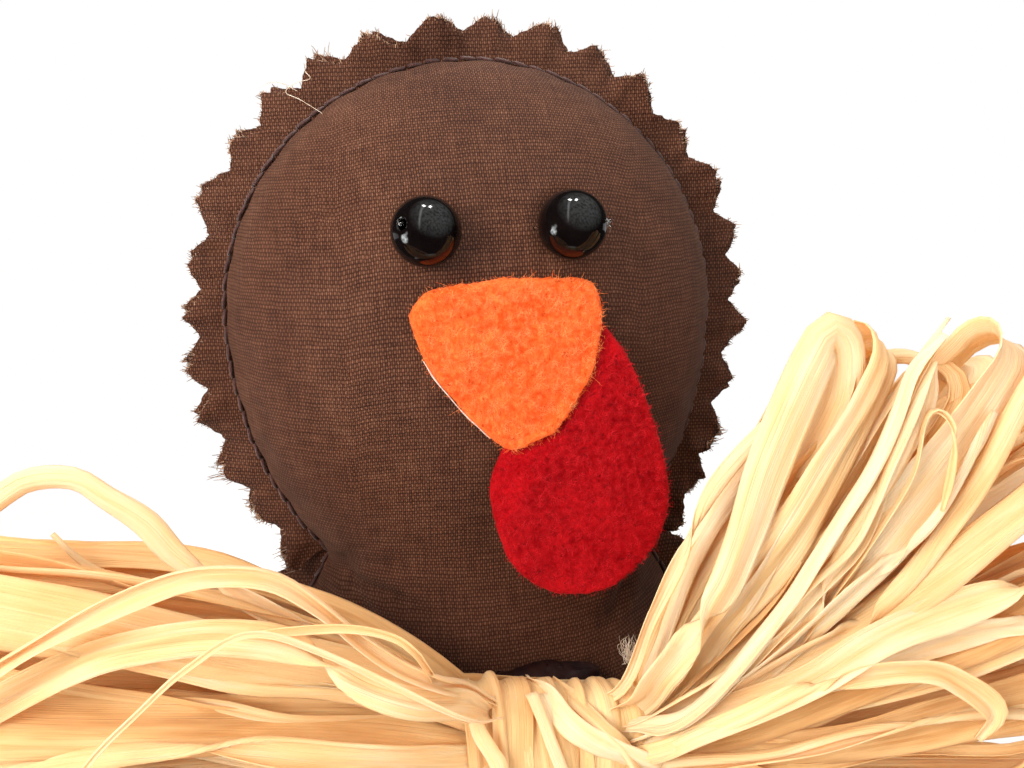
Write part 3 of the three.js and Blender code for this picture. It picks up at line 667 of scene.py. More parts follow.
def half_width_at(z):
    z = np.asarray(z, float)
    above = (z - head_widest_height) / (head_seam_top - head_widest_height)
    reach = (head_widest_height - neck_height) / ellipse_share(neck_half / head_half)
    cheek = head_half * ellipse_share((head_widest_height - z) / reach)
    shoulder_height = neck_height - (body_half - neck_half) / neck_flare_share
    a = neck_height - 2 * shoulder_height + body_widest_height
    b = shoulder_height - neck_height
    t = (neck_height - z) / (np.sqrt(np.maximum(0, b * b - a * (neck_height - z))) - b)
    skirt = neck_half * (1 - t) ** 2 + body_half * (2 * t - t * t)
    foot = base_half + (body_half - base_half) * ellipse_share(1 - z / body_widest_height)
    return by_level(z, head_half * ellipse_share(above), cheek, skirt, foot)


def half_depth_at(z):
    z = np.asarray(z, float)
    above = np.clip((z - head_widest_height) / (head_seam_top - head_widest_height), 0, 1)
    crown = head_depth * (1 - above * above) ** crown_power_share
    cheek_share = smooth_share((z - neck_height) / (head_widest_height - neck_height))
    cheek = neck_depth + (head_depth - neck_depth) * cheek_share
    skirt_share = smooth_share((z - body_widest_height) / (neck_height - body_widest_height))
    skirt = body_depth + (neck_depth - body_depth) * skirt_share
    foot = base_depth + (body_depth - base_depth) * ellipse_share(1 - z / body_widest_height)
    return by_level(z, crown, cheek, skirt, foot)


def depth_at(x, z):
    half = np.maximum(half_width_at(z), 1e-6)
    share = np.clip(np.abs(np.asarray(x, float)) / half, 0, 1)
    return half_depth_at(z) * (1 - share * share) ** crown_power_share


def seam_line(count):
    """The seam from the right foot over the crown to the left: places, ways out of the panel and lengths."""
    t = np.linspace(0, 1, 6001)
    z = panel_foot + (head_seam_top - panel_foot) * np.sin((1 - np.abs(2 * t - 1)) * math.pi / 2)
    x = np.where(t < 0.5, 1, -1) * half_width_at(z)
    run = np.concatenate([[0], np.cumsum(np.hypot(np.diff(x), np.diff(z)))])
    line = np.stack([x, z], axis=1)
    at = np.linspace(0, run[-1], count)
    along = unit(places_at(at + seam_smoothing, run, line) - places_at(at - seam_smoothing, run, line))
    return places_at(at, run, line), np.stack([along[:, 1], -along[:, 0]], axis=1), at


# Node trees

def rgb(red, green, blue):
    """A colour written as it shows on a screen, 0 to 255, for a shader."""
    def linear(value):
        share = value / 255
        return share / 12.92 if share <= 0.04045 else ((share + 0.055) / 1.055) ** 2.4
    return (linear(red), linear(green), linear(blue), 1)


class Nodes:
    """Short calls for building the node tree of one material, or of the world."""

    def __init__(self, name, kind="materials"):
        self.owner = getattr(bpy.data, kind).new(name)
        self.owner.use_nodes = True
        self.tree = self.owner.node_tree
        self.is_world = kind == "worlds"
        self.shader = self.tree.nodes["Background" if self.is_world else "Principled BSDF"]
        self.output = self.tree.nodes["World Output" if self.is_world else "Material Output"]

    def add(self, kind, **settings):
        node = self.tree.nodes.new(kind)
        for key, value in settings.items():
            setattr(node, key, value)
        return node

    def feed(self, socket, value):
        if isinstance(value, (int, float, tuple)):
            socket.default_value = value
        else:
            self.tree.links.new(value, socket)

    def fed(self, node, output=0, **values):
        """Feeds the sockets named, and gives the node's output."""
        for key, value in values.items():
            self.feed(node.inputs[key.replace("_", " ")], value)
        return node.outputs[output]

    def coordinates(self, layer=None):
        if layer:
            return self.add("ShaderNodeUVMap", uv_map=layer).outputs[0]
        return self.add("ShaderNodeTexCoord").outputs["Object"]

    def split(self, vector):
        return self.fed(self.add("ShaderNodeSeparateXYZ"), 0, Vector=vector).node.outputs

    def scaled(self, vector, scale, place=(0, 0, 0)):
        return self.fed(self.add("ShaderNodeMapping"), Vector=vector, Scale=scale, Location=place)

    def noise(self, vector, scale, detail=3, roughness=0.55, distortion=0.0):
        return self.fed(self.add("ShaderNodeTexNoise"), "Fac", Vector=vector, Scale=scale, Detail=detail,
                        Roughness=roughness, Distortion=distortion)

    def math(self, operation, first, second=0.0, third=0.0):
        node = self.add("ShaderNodeMath", operation=operation)
        for socket, value in zip(node.inputs, (first, second, third)):
            self.feed(socket, value)
        return node.outputs[0]

    def vector(self, operation, first, second=(0, 0, 0)):
        node = self.add("ShaderNodeVectorMath", operation=operation)
        self.feed(node.inputs[0], first)
        self.feed(node.inputs[1], tuple(second))
        return node.outputs["Value" if operation in ("LENGTH", "DOT_PRODUCT") else "Vector"]

    def wave(self, value, pitch):
        return self.math("SINE", self.math("MULTIPLY", value, math.pi / pitch))

    def rounded(self, value, power):
        return self.math("POWER", self.math("ABSOLUTE", value), power)

    def span(self, value, low, high, to_low=0.0, to_high=1.0, **settings):
        return self.fed(self.add("ShaderNodeMapRange", **settings), Value=value, From_Min=low, From_Max=high,
                        To_Min=to_low, To_Max=to_high)

    def mix(self, share, first, second, kind="MIX"):
        node = self.add("ShaderNodeMix", data_type="RGBA", blend_type=kind)
        for index, value in ((0, share), (6, first), (7, second)):
            self.feed(node.inputs[index], value)
        return node.outputs[2]

    def ramp(self, value, stops):
        """Colours over a value: places from 0 to 1, each with a colour as on a screen."""
        node = self.add("ShaderNodeValToRGB")
        self.feed(node.inputs[0], value)
        band = node.color_ramp
        while len(band.elements) < len(stops):
            band.elements.new(0.5)
        for element, (place, colour) in zip(band.elements, stops):
            element.position = place
            element.color = rgb(*colour)
        return node.outputs[0]

    def bump(self, height, distance, under=None):
        node = self.add("ShaderNodeBump")
        if under:
            self.feed(node.inputs["Normal"], under)
        return self.fed(node, Strength=1.0, Distance=distance * MM, Height=height)

    def mix_shaders(self, share, second):
        """Shows a mix of the tree's own shader and a second one."""
        node = self.add("ShaderNodeMixShader")
        for socket, value in zip(node.inputs, (share, self.shader.outputs[0], second.outputs[0])):
            self.feed(socket, value)
        self.tree.links.new(node.outputs[0], self.output.inputs["Surface"])

    def white_when_seen(self, far_share=None):
        """Adds a pure white that the camera and gloss see, and leaves the light on the object alone."""
        path = self.add("ShaderNodeLightPath").outputs
        seen = self.math("MAXIMUM", path["Is Camera Ray"], path["Is Transmission Ray"])
        seen = self.math("MAXIMUM", seen, path["Is Glossy Ray"])
        if far_share:
            seen = self.math("MULTIPLY", seen, far_share)
        white = self.add("ShaderNodeBackground" if self.is_world else "ShaderNodeEmission")
        self.fed(white, Color=(1, 1, 1, 1), Strength=1)
        self.mix_shaders(seen, white)

    def finish(self, colour, roughness, normal=None, **more):
        self.fed(self.shader, Base_Color=colour, Roughness=roughness, **more)
        if normal:
            self.feed(self.shader.inputs["Normal"], normal)
        return self.owner


# Camera, floor and light

def make_camera():
    yaw, elevation, roll = (math.radians(a) for a in (camera_yaw, camera_elevation, camera_roll))
    back = Vector((
        math.sin(yaw) * math.cos(elevation), -math.cos(yaw) * math.cos(elevation), math.sin(elevation)))
    level = Vector((math.cos(yaw), math.sin(yaw), 0))
    upright = back.cross(level)
    right = math.cos(roll) * level + math.sin(roll) * upright
    up = math.cos(roll) * upright - math.sin(roll) * level
    place = (Vector(camera_target) + camera_distance * back) * MM
    data = bpy.data.cameras.new("camera")
    data.sensor_width = sensor_width
    data.sensor_fit = "HORIZONTAL"
    data.lens = camera_focal
    data.clip_start = camera_clip * MM
    camera = bpy.data.objects.new("camera", data)
    camera.matrix_world = Matrix.Translation(place) @ Matrix((right, up, back)).transposed().to_4x4()
    bpy.context.scene.collection.objects.link(camera)
    bpy.context.scene.camera = camera


def make_world():
    n = Nodes("room", "worlds")
    bpy.context.scene.world = n.owner
    n.fed(n.shader, Color=world_colour, Strength=world_strength)
    n.white_when_seen()


def make_floor():
    half = floor_half
    points = [(-half, -half, 0), (half, -half, 0), (half, half, 0), (-half, half, 0)]
    floor = make_object("floor", points, [(0, 1, 2, 3)], smooth=False)
    n = Nodes("pale_floor")
    floor.data.materials.append(n.finish(floor_colour, floor_roughness))
    distance = n.vector("LENGTH", n.add("ShaderNodeNewGeometry").outputs["Position"])
    n.white_when_seen(n.span(
        distance, floor_real_reach * MM, floor_white_reach * MM, interpolation_type="SMOOTHSTEP"))


def make_lamp(name, place, width, height, power, colour, mirrored=False):
    data = bpy.data.lights.new(name, "AREA")
    data.shape = "RECTANGLE"
    data.size = width * MM
    data.size_y = height * MM
    data.energy = power
    data.color = colour
    lamp = bpy.data.objects.new(name, data)
    lamp.location = Vector(place) * MM
    lamp.rotation_euler = (Vector(lamp_aim) - Vector(place)).to_track_quat("-Z", "Y").to_euler()
    lamp.visible_glossy = mirrored
    bpy.context.scene.collection.objects.link(lamp)


def make_lights():
    for name, settings in lamps.items():
        make_lamp(name, *settings)
    for x, y in ceiling_places:
        make_lamp("ceiling", (x, y, ceiling_height), *ceiling_lamp, mirrored=True)


def dim_room_shell():
    """A dome over a ring of floor round the figure, left open low down behind it."""
    azimuth = np.radians(np.linspace(90, 450, room_around + 1) - room_turn / 2)
    rises = np.radians(np.linspace(0, 90, room_rings))
    profile = [(room_floor_start, room_lift)]
    profile += [(room_radius * math.cos(a), room_lift + room_radius * math.sin(a)) for a in rises]
    points = [(r * math.cos(a), -r * math.sin(a), z) for r, z in profile for a in azimuth]
    row = room_around + 1
    low_rows = 1 + int(np.sum(rises < math.radians(room_back_rise)))
    front = int(room_around * room_turn / 360)
    faces = [
        (i * row + k, i * row + k + 1, (i + 1) * row + k + 1, (i + 1) * row + k)
        for i in range(len(profile) - 1) for k in range(front if 0 < i < low_rows else room_around)]
    return make_object("dim_room", points, faces)


def make_dim_room():
    """The dim room on the viewer's side, a glowing shell for painted reflections: only gloss mirrors it, and
    it gives no light.
    """
    shell = dim_room_shell()
    n = Nodes("dim_room")
    eyes = Vector((0, -bead_out, eye_height)) * MM
    way = n.vector("NORMALIZE", n.vector("SUBTRACT", n.coordinates(), eyes))

    def towards(direction):
        return n.vector("DOT_PRODUCT", way, Vector(direction).normalized())

    level = room_level
    for direction, reach, power in room_spots:
        low, high = (math.cos(math.radians(angle)) for angle in (reach, reach / 3))
        spot = n.span(towards(direction), low, high)
        patch = n.math("MULTIPLY", spot, n.span(n.noise(way, 9, 2), 0.35, 0.6, 0.3, 1.0))
        level = n.math("MULTIPLY_ADD", patch, power, level)
    plane, middle, half_width, power = room_streak
    off_plane = n.math("ABSOLUTE", towards(plane))
    streak = n.math("MULTIPLY", n.span(off_plane, 0, half_width, 1, 0), n.span(towards(middle), *streak_ends))
    glow = n.add("ShaderNodeEmission")
    n.fed(glow, Color=room_colour, Strength=n.math("MULTIPLY_ADD", streak, power, level))
    n.tree.links.new(glow.outputs[0], n.output.inputs["Surface"])
    shell.data.materials.append(n.owner)
    shell.visible_camera = False
    shell.visible_diffuse = False
    shell.visible_shadow = False
    shell.visible_transmission = False


# Materials

def cloth_material():
    """Plain-weave cotton. One layer holds the run of the threads, the other the way to the seam."""
    n = Nodes("brown_cotton")
    weave = n.coordinates("weave")
    wander = n.noise(n.scaled(weave, (0.35, 0.35, 1)), 1, 2)
    across, up, _ = n.split(weave)
    warp = n.wave(n.math("MULTIPLY_ADD", wander, warp_wander, across), warp_pitch)
    weft = n.wave(n.math("MULTIPLY_ADD", wander, weft_wander, up), weft_pitch)
    over = n.span(n.math("MULTIPLY", warp, weft), -0.3, 0.3, weave_under_share, 1.0)
    height = n.math("MULTIPLY", n.math("MULTIPLY", n.rounded(warp, 0.5), n.rounded(weft, 0.28)), over)
    slub = n.math("ADD", n.noise(n.scaled(weave, (0.22, 2.1, 1)), 1, 2),
                  n.noise(n.scaled(weave, (3.4, 0.2, 1), (7, 3, 0)), 1, 2))
    # Painted shade and light: the colour follows the thread height, darker in the hollows and under-threads
    # and lighter on the crowns, with the yarn's slubs mixed in.
    tone = n.math("MULTIPLY_ADD", n.math("SUBTRACT", slub, 1.0), 0.5, n.span(height, 0.1, 1.0, -0.08, 0.76))
    mottle = n.math("SUBTRACT", n.noise(n.coordinates(), 90), 0.5)
    colour = n.ramp(n.math("MULTIPLY_ADD", mottle, 0.35, tone), cloth_colours)
    along, inward, _ = n.split(n.coordinates("seam"))
    pull = n.math("ABSOLUTE", n.wave(along, stitch_pitch))
    near = n.math("POWER", n.span(n.math("ABSOLUTE", inward), 0.0, pucker_reach, 1.0, 0.0), 1.5)
    folds = n.bump(n.math("MULTIPLY", pull, near), pucker_relief)
    threads = n.bump(height, weave_relief, folds)
    return n.finish(colour, 0.82, threads, Sheen_Weight=0.03, Sheen_Roughness=0.45,
                    Sheen_Tint=rgb(225, 200, 185), Specular_IOR_Level=0.22)


def felt_material(name, dark, middle, light, sheen):
    """Needled felt: short fibres in every direction, matted into soft lumps."""
    n = Nodes(name)
    place = n.coordinates()
    fibres = n.noise(place, 1500, 4, 0.7, 1.2)
    streaks = n.noise(n.scaled(place, (1, 1, 0.22), (0.3, 0, 0)), 2400, 2, 0.6, 2.0)
    lumps = n.noise(place, 320, 2)
    tone = n.math("ADD", n.math("MULTIPLY", fibres, 0.55), n.math("MULTIPLY", streaks, 0.3))
    tone = n.math("MULTIPLY_ADD", lumps, 0.3, tone)
    colour = n.ramp(tone, [(0.38, dark), (0.55, middle), (0.74, light)])
    speck = n.span(n.noise(place, 1500, 1, 0.5, 0.4), 0.26, 0.35, 0.85, 0.0)
    colour = n.mix(speck, colour, rgb(*(0.86 * c for c in dark)))
    matted = n.bump(tone, felt_fibre_relief, n.bump(lumps, felt_lump_relief))
    return n.finish(colour, 0.9, matted, Sheen_Weight=0.12, Sheen_Roughness=0.5, Sheen_Tint=rgb(*sheen),
                    Specular_IOR_Level=0.15)


def speckled_material(name, dark, light, scale, detail, roughness, relief=0, low=0.3, **more):
    """Two tones that a fine noise mixes, and a relief of the same noise."""
    n = Nodes(name)
    tone = n.noise(n.coordinates(), scale, detail)
    return n.finish(n.ramp(tone, [(low, dark), (1 - low, light)]), roughness,
                    n.bump(tone, relief) if relief else None, **more)


def fibre_material(name, dark, light):
    return speckled_material(name, dark, light, 1100, 1, 0.85, low=0.35, Specular_IOR_Level=0.05)


def clear_material(name, dark, light):
    return speckled_material(name, dark, light, 900, 2, 0.12, glossy_relief, Transmission_Weight=1.0, IOR=1.2,
                             Specular_IOR_Level=0.2)


def bead_material():
    n = Nodes("black_glass")
    wear = n.noise(n.coordinates(), 500, 2)
    dents = n.bump(n.noise(n.coordinates(), 160, 1), glossy_relief)
    colour = n.ramp(wear, [(0.3, (7, 4, 4)), (0.7, (13, 8, 8))])
    return n.finish(colour, n.span(wear, 0.3, 0.7, 0.05, 0.09), dents, Specular_IOR_Level=0.28)


def glue_painted_shade_material():
    """Clear glue painted with the shade of the dark cloth behind the bow: nearly black, with a few small
    glints.
    """
    n = Nodes("glue_painted_shade")
    tone = n.noise(n.coordinates(), 420)
    gloss = n.span(n.noise(n.coordinates(), 900, 2), 0.5, 0.7, 0.65, 0.25)
    # The near-black colours are painted shade; the glints come from the gloss.
    return n.finish(n.ramp(tone, [(0.3, (22, 9, 11)), (0.7, (46, 24, 20))]), gloss, n.bump(tone, glue_relief),
                    Specular_IOR_Level=0.15)


def raffia_material():
    """Dried palm leaf: fine lengthwise fibres, a tint for each strand with painted shade on the low rows of
    the fans, and a little light let through.
    """
    n = Nodes("raffia")
    fibre = n.coordinates("fibre")
    tint_and_shade = n.add("ShaderNodeAttribute", attribute_name="tint_and_shade").outputs["Fac"]
    fine = n.noise(n.scaled(fibre, (7.5, 0.06, 1)), 1, 2, 0.6)
    broad = n.noise(n.scaled(fibre, (1.6, 0.03, 1), (5, 9, 0)), 1, 2)
    patches = n.noise(n.scaled(fibre, (0.5, 0.09, 1), (2, 4, 0)), 1, 2)
    tone = 0.5
    for part, weight in ((fine, 0.16), (broad, 0.22), (patches, 0.36), (tint_and_shade, 0.42)):
        tone = n.math("MULTIPLY_ADD", n.math("SUBTRACT", part, 0.5), weight, tone)
    colour = n.ramp(tone, raffia_colours)
    ridges = n.bump(n.math("ADD", fine, broad), leaf_relief)
    n.finish(colour, n.span(fine, 0.3, 0.7, 0.42, 0.6), ridges, Specular_IOR_Level=0.45, Sheen_Weight=0.1)
    through = n.add("ShaderNodeBsdfTranslucent")
    n.fed(through, Color=n.mix(1.0, colour, rgb(*raffia_through_colour), "MULTIPLY"), Normal=ridges)
    n.mix_shaders(raffia_through_share, through)
    return n.owner


# The stuffed cloth

def stuffed_form():
    """Closed form of the stuffed figure, rings from the foot to the crown."""
    levels = np.sin(np.linspace(0, 1, form_rings + 1)[:-1] * math.pi / 2)
    z = (panel_foot + (head_seam_top - panel_foot) * levels)[:, None]
    turn = np.linspace(0, 2 * math.pi, form_around, endpoint=False)
    x = half_width_at(z) * np.cos(turn)
    y = -half_depth_at(z) * np.sign(np.sin(turn)) * np.abs(np.sin(turn)) ** (2 * crown_power_share)
    rings = np.stack(np.broadcast_arrays(x, y, z), axis=-1).reshape(-1, 3)
    faces = [tuple(range(form_around)), *ring_faces(form_rings, form_around, inward=True, ends=False)]
    last = len(rings) - form_around
    faces += [(last + k, len(rings), last + (k + 1) % form_around) for k in range(form_around)]
    return np.concatenate([rings, [[0, 0, head_seam_top]]]), faces


def puff(made, start):
    """Blows the cloth up between its pinned seams, and keeps each point within the cap of where it was."""
    places = vertex_places(made) / simulation_scale
    pinned = np.where((np.abs(places[:, 1]) < voxel_size * pin_share) | (places[:, 2] < pinned_foot))[0]
    group = made.vertex_groups.new(name="sewn")
    group.add([int(i) for i in pinned], 1.0, "REPLACE")
    cloth = made.modifiers.new("cloth", "CLOTH")
    cloth.settings.vertex_group_mass = group.name
    cloth.settings.use_pressure = True
    for name, value in cloth_settings.items():
        setattr(cloth.settings, name, value)
    cloth.settings.effector_weights.gravity = 0
    cloth.point_cache.frame_start = 1
    cloth.point_cache.frame_end = simulation_frames
    for step in range(1, simulation_frames + 1):
        bpy.context.scene.frame_set(step)
    applied(made)
    bpy.context.scene.frame_set(1)
    moved = vertex_places(made) / simulation_scale - start
    limit = simulation_cap * np.tanh(np.linalg.norm(moved, axis=1) / simulation_cap)
    kept = seam_give_share + (1 - seam_give_share) * smooth_share(np.abs(start[:, 1]) / seam_hold)
    return start + unit(moved) * (kept * limit)[:, None]


def smoothed(made, places, weight):
    """Evens out the form where the weight is high, by moving each point towards its neighbours."""
    edges = np.empty(len(made.data.edges) * 2, np.int32)
    made.data.edges.foreach_get("vertices", edges)
    edges = edges.reshape(-1, 2)
    count = np.bincount(edges.ravel(), minlength=len(places))[:, None]
    for _ in range(evening_rounds):
        total = np.zeros_like(places)
        np.add.at(total, edges[:, 0], places[edges[:, 1]])
        np.add.at(total, edges[:, 1], places[edges[:, 0]])
        places = places + (total / np.maximum(count, 1) - places) * (evening_share * weight)[:, None]
    return places


def cover_form():
    points, faces = stuffed_form()
    made = make_object("cloth_cover", points * simulation_scale, faces)
    remesh = made.modifiers.new("remesh", "REMESH")
    remesh.mode = "VOXEL"
    remesh.voxel_size = voxel_size * simulation_scale * MM
    applied(made)
    start = vertex_places(made) / simulation_scale
    places = puff(made, start)
    off_seam = smooth_share((np.abs(start[:, 1]) - evening_start) / evening_reach)
    near_neck = hump(start[:, 2] - neck_height, evening_reach) * off_seam
    inner = smooth_share((half_width_at(start[:, 2]) - np.abs(start[:, 0])) / evening_reach)
    set_places(made, smoothed(made, places, near_neck * (0.25 + 0.75 * inner)))
    finer = made.modifiers.new("finer", "SUBSURF")
    finer.levels = 1
    finer.render_levels = 1
    applied(made)
    return made


def seam_coordinates(places):
    """How far along the seam each place is, and how far from it in the seam's plane, inwards."""
    line, _, at = seam_line(seam_steps)
    tree = KDTree(len(line))
    for index, (x, z) in enumerate(line):
        tree.insert((x, z, 0), index)
    tree.balance()
    found = [tree.find((p[0], p[2], 0)) for p in places]
    return np.array([(at[index], distance) for _, index, distance in found])


def sculpt_cover(places, normals, seam):
    """Neck creases, the pull of the stitches and the dimples that the eyes press into the cloth."""
    moved = places.copy()
    for side in (-1, 1):
        away = np.hypot(places[:, 0] - side * eye_spacing / 2, places[:, 2] - eye_height)
        swell = eye_swell * hump(away - eye_swell_radius, eye_swell_width)
        swell -= eye_dimple * hump(away, eye_dimple_width)
        moved[:, 1] -= swell * (places[:, 1] < 0)
    reach = np.abs(places[:, 1])
    line, _, at = seam_line(seam_steps)
    rim = places_at(seam[:, 0], at, line)
    drawn = hump(reach, seam_draw_width) * smooth_share((places[:, 2] - seam_draw_foot) / seam_draw_fade)
    moved[:, [0, 2]] += (rim - places[:, [0, 2]]) * drawn[:, None]
    pull = np.abs(np.sin(seam[:, 0] * math.pi / (3 * stitch_pitch))) ** 0.7
    near = hump(reach - pull_middle, pull_width)
    moved += normals * (near * (pull_height * pull - pull_sink))[:, None]
    for side in (-1, 1):
        for angle, length, depth in neck_creases:
            turn = math.radians(angle if side > 0 else 180 - angle)
            along = np.array([math.cos(turn), math.sin(turn)])
            offset = places[:, [0, 2]] - (side * neck_half, neck_height)
            run = offset @ along
            aside = np.abs(offset @ (-along[1], along[0]))
            fade = smooth_share(run / crease_start)
            fade *= smooth_share((length - run) / (length * crease_fade_share))
            groove = 1.4 * hump(aside, crease_width) - 0.5 * hump(aside - crease_lip, crease_lip_width)
            moved -= normals * (depth * fade * groove)[:, None]
    return moved


def arc_coordinates(places):
    """The run of the threads: distances over the surface, from the middle line and from the neck."""
    steps = 24
    share = (np.arange(steps) + 0.5) / steps
    x, z = places[:, :1], places[:, 2:]
    along = x * share
    slope = (depth_at(along + slope_step, z) - depth_at(along - slope_step, z)) / (2 * slope_step)
    across = x[:, 0] * np.mean(np.sqrt(1 + np.minimum(slope, steepest_slope) ** 2), axis=1)
    rise = neck_height + (z - neck_height) * share
    still = np.repeat(np.minimum(np.abs(x), arc_reach), steps, axis=1)
    slope = (depth_at(still, rise + slope_step) - depth_at(still, rise - slope_step)) / (2 * slope_step)
    slope = np.clip(slope, -steepest_slope, steepest_slope)
    up = (z[:, 0] - neck_height) * np.mean(np.sqrt(1 + slope ** 2), axis=1)
    return np.stack([across, up], axis=1)


def frill_mesh(side):
    """One layer of the pinked seam allowance, with its cut teeth and the way it flutters."""
    line, out, at = seam_line(allowance_steps)
    phase = at / at[-1] * round(at[-1] / tooth_pitch) + 0.09 * side + waved(at, tooth_spacing_wave)
    tooth = 1 - np.abs(2 * (phase % 1) - 1)
    uneven = waved(np.floor(phase), tooth_depth_wave)
    reach = seam_allowance - tooth_depth + uneven * 0.4 + (tooth_depth + uneven) * tooth ** 1.15
    reach += waved(at, ragged_wave, side) + waved(at, fine_ragged_wave, side) + waved(at, curled_in_wave)
    flutter = waved(at, flutter_wave) + waved(at, fine_flutter_wave)
    flutter += allowance_lean * smooth_share(-line[:, 0] / head_half)
    for end in (1, -1):
        neck = at[np.argmin(np.hypot(line[:, 0] - end * neck_half, line[:, 1] - neck_height))]
        inward = (at - neck) * (1 if neck < at[-1] / 2 else -1)
        flutter += neck_fold * (hump(inward + neck_fold_shift, neck_fold_width)
                                - hump(inward - neck_fold_shift, neck_fold_width))
    tilt = waved(at, tooth_tilt_wave, side) * tooth
    spread = np.abs(layer_gap + waved(at, layer_gap_wave, side))
    shares = np.linspace(0, 1, allowance_rows)
    layers = []
    for share, face in [(share, 1) for share in shares] + [(share, -1) for share in shares[::-1]]:
        flat = line + out * (-allowance_inset + (reach + allowance_inset) * share)[:, None]
        middle = cloth_thickness / 2 + layer_clearance + spread * share ** 1.5
        skin = face * cloth_thickness / 2 * (1 - 0.35 * share ** 6)
        y = side * (middle + skin) + flutter * share ** 1.5 + tilt * share ** 3
        layers.append(np.stack([flat[:, 0], y, np.maximum(panel_foot, flat[:, 1])], axis=1))
    around = len(layers)
    seam = np.stack([np.repeat(at, around), np.full(around * len(at), far_from_seam)], axis=1)
    edge = line + out * reach[:, None]
    middle = flutter + side * (spread + cloth_thickness / 2)
    rim = np.stack([edge[:, 0], middle, np.maximum(panel_foot, edge[:, 1])], axis=1)
    points = np.stack(layers, axis=1).reshape(-1, 3)
    return points, ring_faces(len(at), around, inward=side < 0), seam, rim, out, 0.12 + tooth ** 3


def tube(path, radius, sides=6, taper=None):
    """A round thread along a path of points, closed at both ends."""
    along = unit(np.gradient(np.asarray(path, float), axis=0))
    across = unit(np.cross(along[0], (0, 0, 1) if abs(along[0][2]) < 0.9 else (1, 0, 0)))
    sizes = radius * (np.ones(len(path)) if taper is None else taper)
    turn = np.linspace(0, 2 * math.pi, sides, endpoint=False)[:, None]
    rings = []
    for place, way, size in zip(path, along, sizes):
        across = unit(across - way * (across @ way))
        rings.append(place + size * (np.cos(turn) * across + np.sin(turn) * np.cross(way, across)))
    return np.concatenate(rings), ring_faces(len(path), sides)


def stitches(side):
    """Machine stitches along the seam on one face of the frill: each dips into the cloth at its ends."""
    line, out, at = seam_line(seam_steps)
    draw = np.random.default_rng(stitch_seed + side)
    run = np.linspace(-1, 1, 9)
    lift = side * (cloth_thickness - stitch_dip + stitch_rise * ellipse_share(run))
    parts = []
    for k in range(int(at[-1] / stitch_pitch)):
        middle = (k + 0.5) * stitch_pitch
        skew = stitch_skew * run + draw.normal(0, stitch_stray)
        flat = places_at(middle + run * stitch_pitch / 2, at, line + out * stitch_reach)
        flat = flat + places_at([middle], at, out) * skew[:, None]
        path = np.stack([flat[:, 0], lift, flat[:, 1]], axis=1)
        parts.append(tube(path, stitch_thickness / 2, 7, 0.6 + 0.4 * ellipse_share(run)))
    return joined(parts)


def frays(rims, normal, weights, seed):
    """Thread ends that stand out of the frill's cut edge: a nap all along, and a few longer tufts."""
    draw = np.random.default_rng(seed)
    worn = np.clip(1 + 0.9 * wave_noise(np.arange(len(rims)), seed, 7, 90.0), 0.2, 2)
    chosen = draw.choice(len(rims), fray_count, p=weights * worn / np.sum(weights * worn))
    short = nap_length + draw.exponential(nap_extra, fray_count)
    spots = draw.choice(len(rims), tuft_count, p=weights ** 2 / np.sum(weights ** 2))
    bunch = draw.integers(*tuft_threads, tuft_count)
    shifts = np.concatenate([np.round(np.linspace(-1, 1, b) * b * 0.9).astype(int) for b in bunch])
    in_tuft = np.clip(np.repeat(spots, bunch) + shifts, 0, len(rims) - 1)
    long = np.repeat(draw.uniform(*tuft_lengths, tuft_count), bunch) * draw.uniform(0.6, 1.1, len(in_tuft))
    chosen = np.concatenate([chosen, in_tuft])
    length = np.concatenate([short, long]) + fray_root
    lead = np.concatenate([draw.uniform(0, 1, fray_count), np.repeat(draw.uniform(0, 1, tuft_count), bunch)])
    out = normal[chosen]
    sideways = lead < np.abs(out[:, 0]) / np.abs(out).sum(axis=1)
    way = np.zeros((len(chosen), 3))
    way[:, 0] = np.where(sideways, np.sign(out[:, 0]), 0.3 * out[:, 0])
    way[:, 2] = np.where(sideways, 0.3 * out[:, 1], np.sign(out[:, 1]))
    way += draw.normal(0, 0.13, way.shape) * (1, 1.6, 1)
    share = np.linspace(0, 1, 6)[None, :, None]
    bend = draw.normal(0, 0.22, (len(chosen), 1, 3))
    start = rims[chosen] - way * fray_root + draw.normal(0, fray_stray, way.shape) * (0.3, 1, 0.3)
    paths = start[:, None] + length[:, None, None] * (share * way[:, None] + share ** 2 * bend)
    return fibre_mesh(paths, fray_thickness)


def make_cover():
    made = cover_form()
    places = vertex_places(made)
    seam = seam_coordinates(places)
    places = sculpt_cover(places, vertex_values(made, "normal"), seam)
    set_places(made, places)
    seam[:, 1] = np.abs(places[:, 1])
    set_uv(made, "weave", arc_coordinates(places))
    set_uv(made, "seam", seam)
    dress(made, cloth, nodes=("front_panel", "back_panel", "head_stuffing", "body_stuffing"))
    for side, name in ((-1, "front"), (1, "back")):
        points, faces, seam, rim, normal, weights = frill_mesh(side)
        frill = make_object(f"frill_{name}", points, faces)
        set_uv(frill, "weave", points[:, [0, 2]])
        set_uv(frill, "seam", seam)
        dress(frill, cloth)
        sewn = make_object(f"seam_stitches_{name}", *stitches(side))
        dress(sewn, thread, nodes=(f"seam_thread_{name}",))
        loose = make_object(f"frayed_threads_{name}", *frays(rim, normal, weights, fray_seed + side))
        dress(loose, loose_thread)
    return made


def front_surface(made):
    """A call that gives the height of a mesh's front over places across and up, towards the viewer."""
    tree = BVHTree.FromPolygons(vertex_places(made).tolist(), [tuple(p.vertices) for p in made.data.polygons])

    def front(x, z):
        hits = [tree.ray_cast(Vector((across, -ray_start, up)), Vector((0, 1, 0)))[0]
                for across, up in zip(np.ravel(x), np.ravel(z))]
        return np.reshape([hit.y if hit else 0 for hit in hits], np.shape(x))

    return front


# Felt

def beak_outline():
    corners = np.array(beak_tip) + np.array(beak_outline_shares) * (beak_width, beak_height)
    round_again = np.concatenate([corners[-1:], corners, corners[:2]])
    return even_places(curve_through(round_again, 40), beak_edge_count)


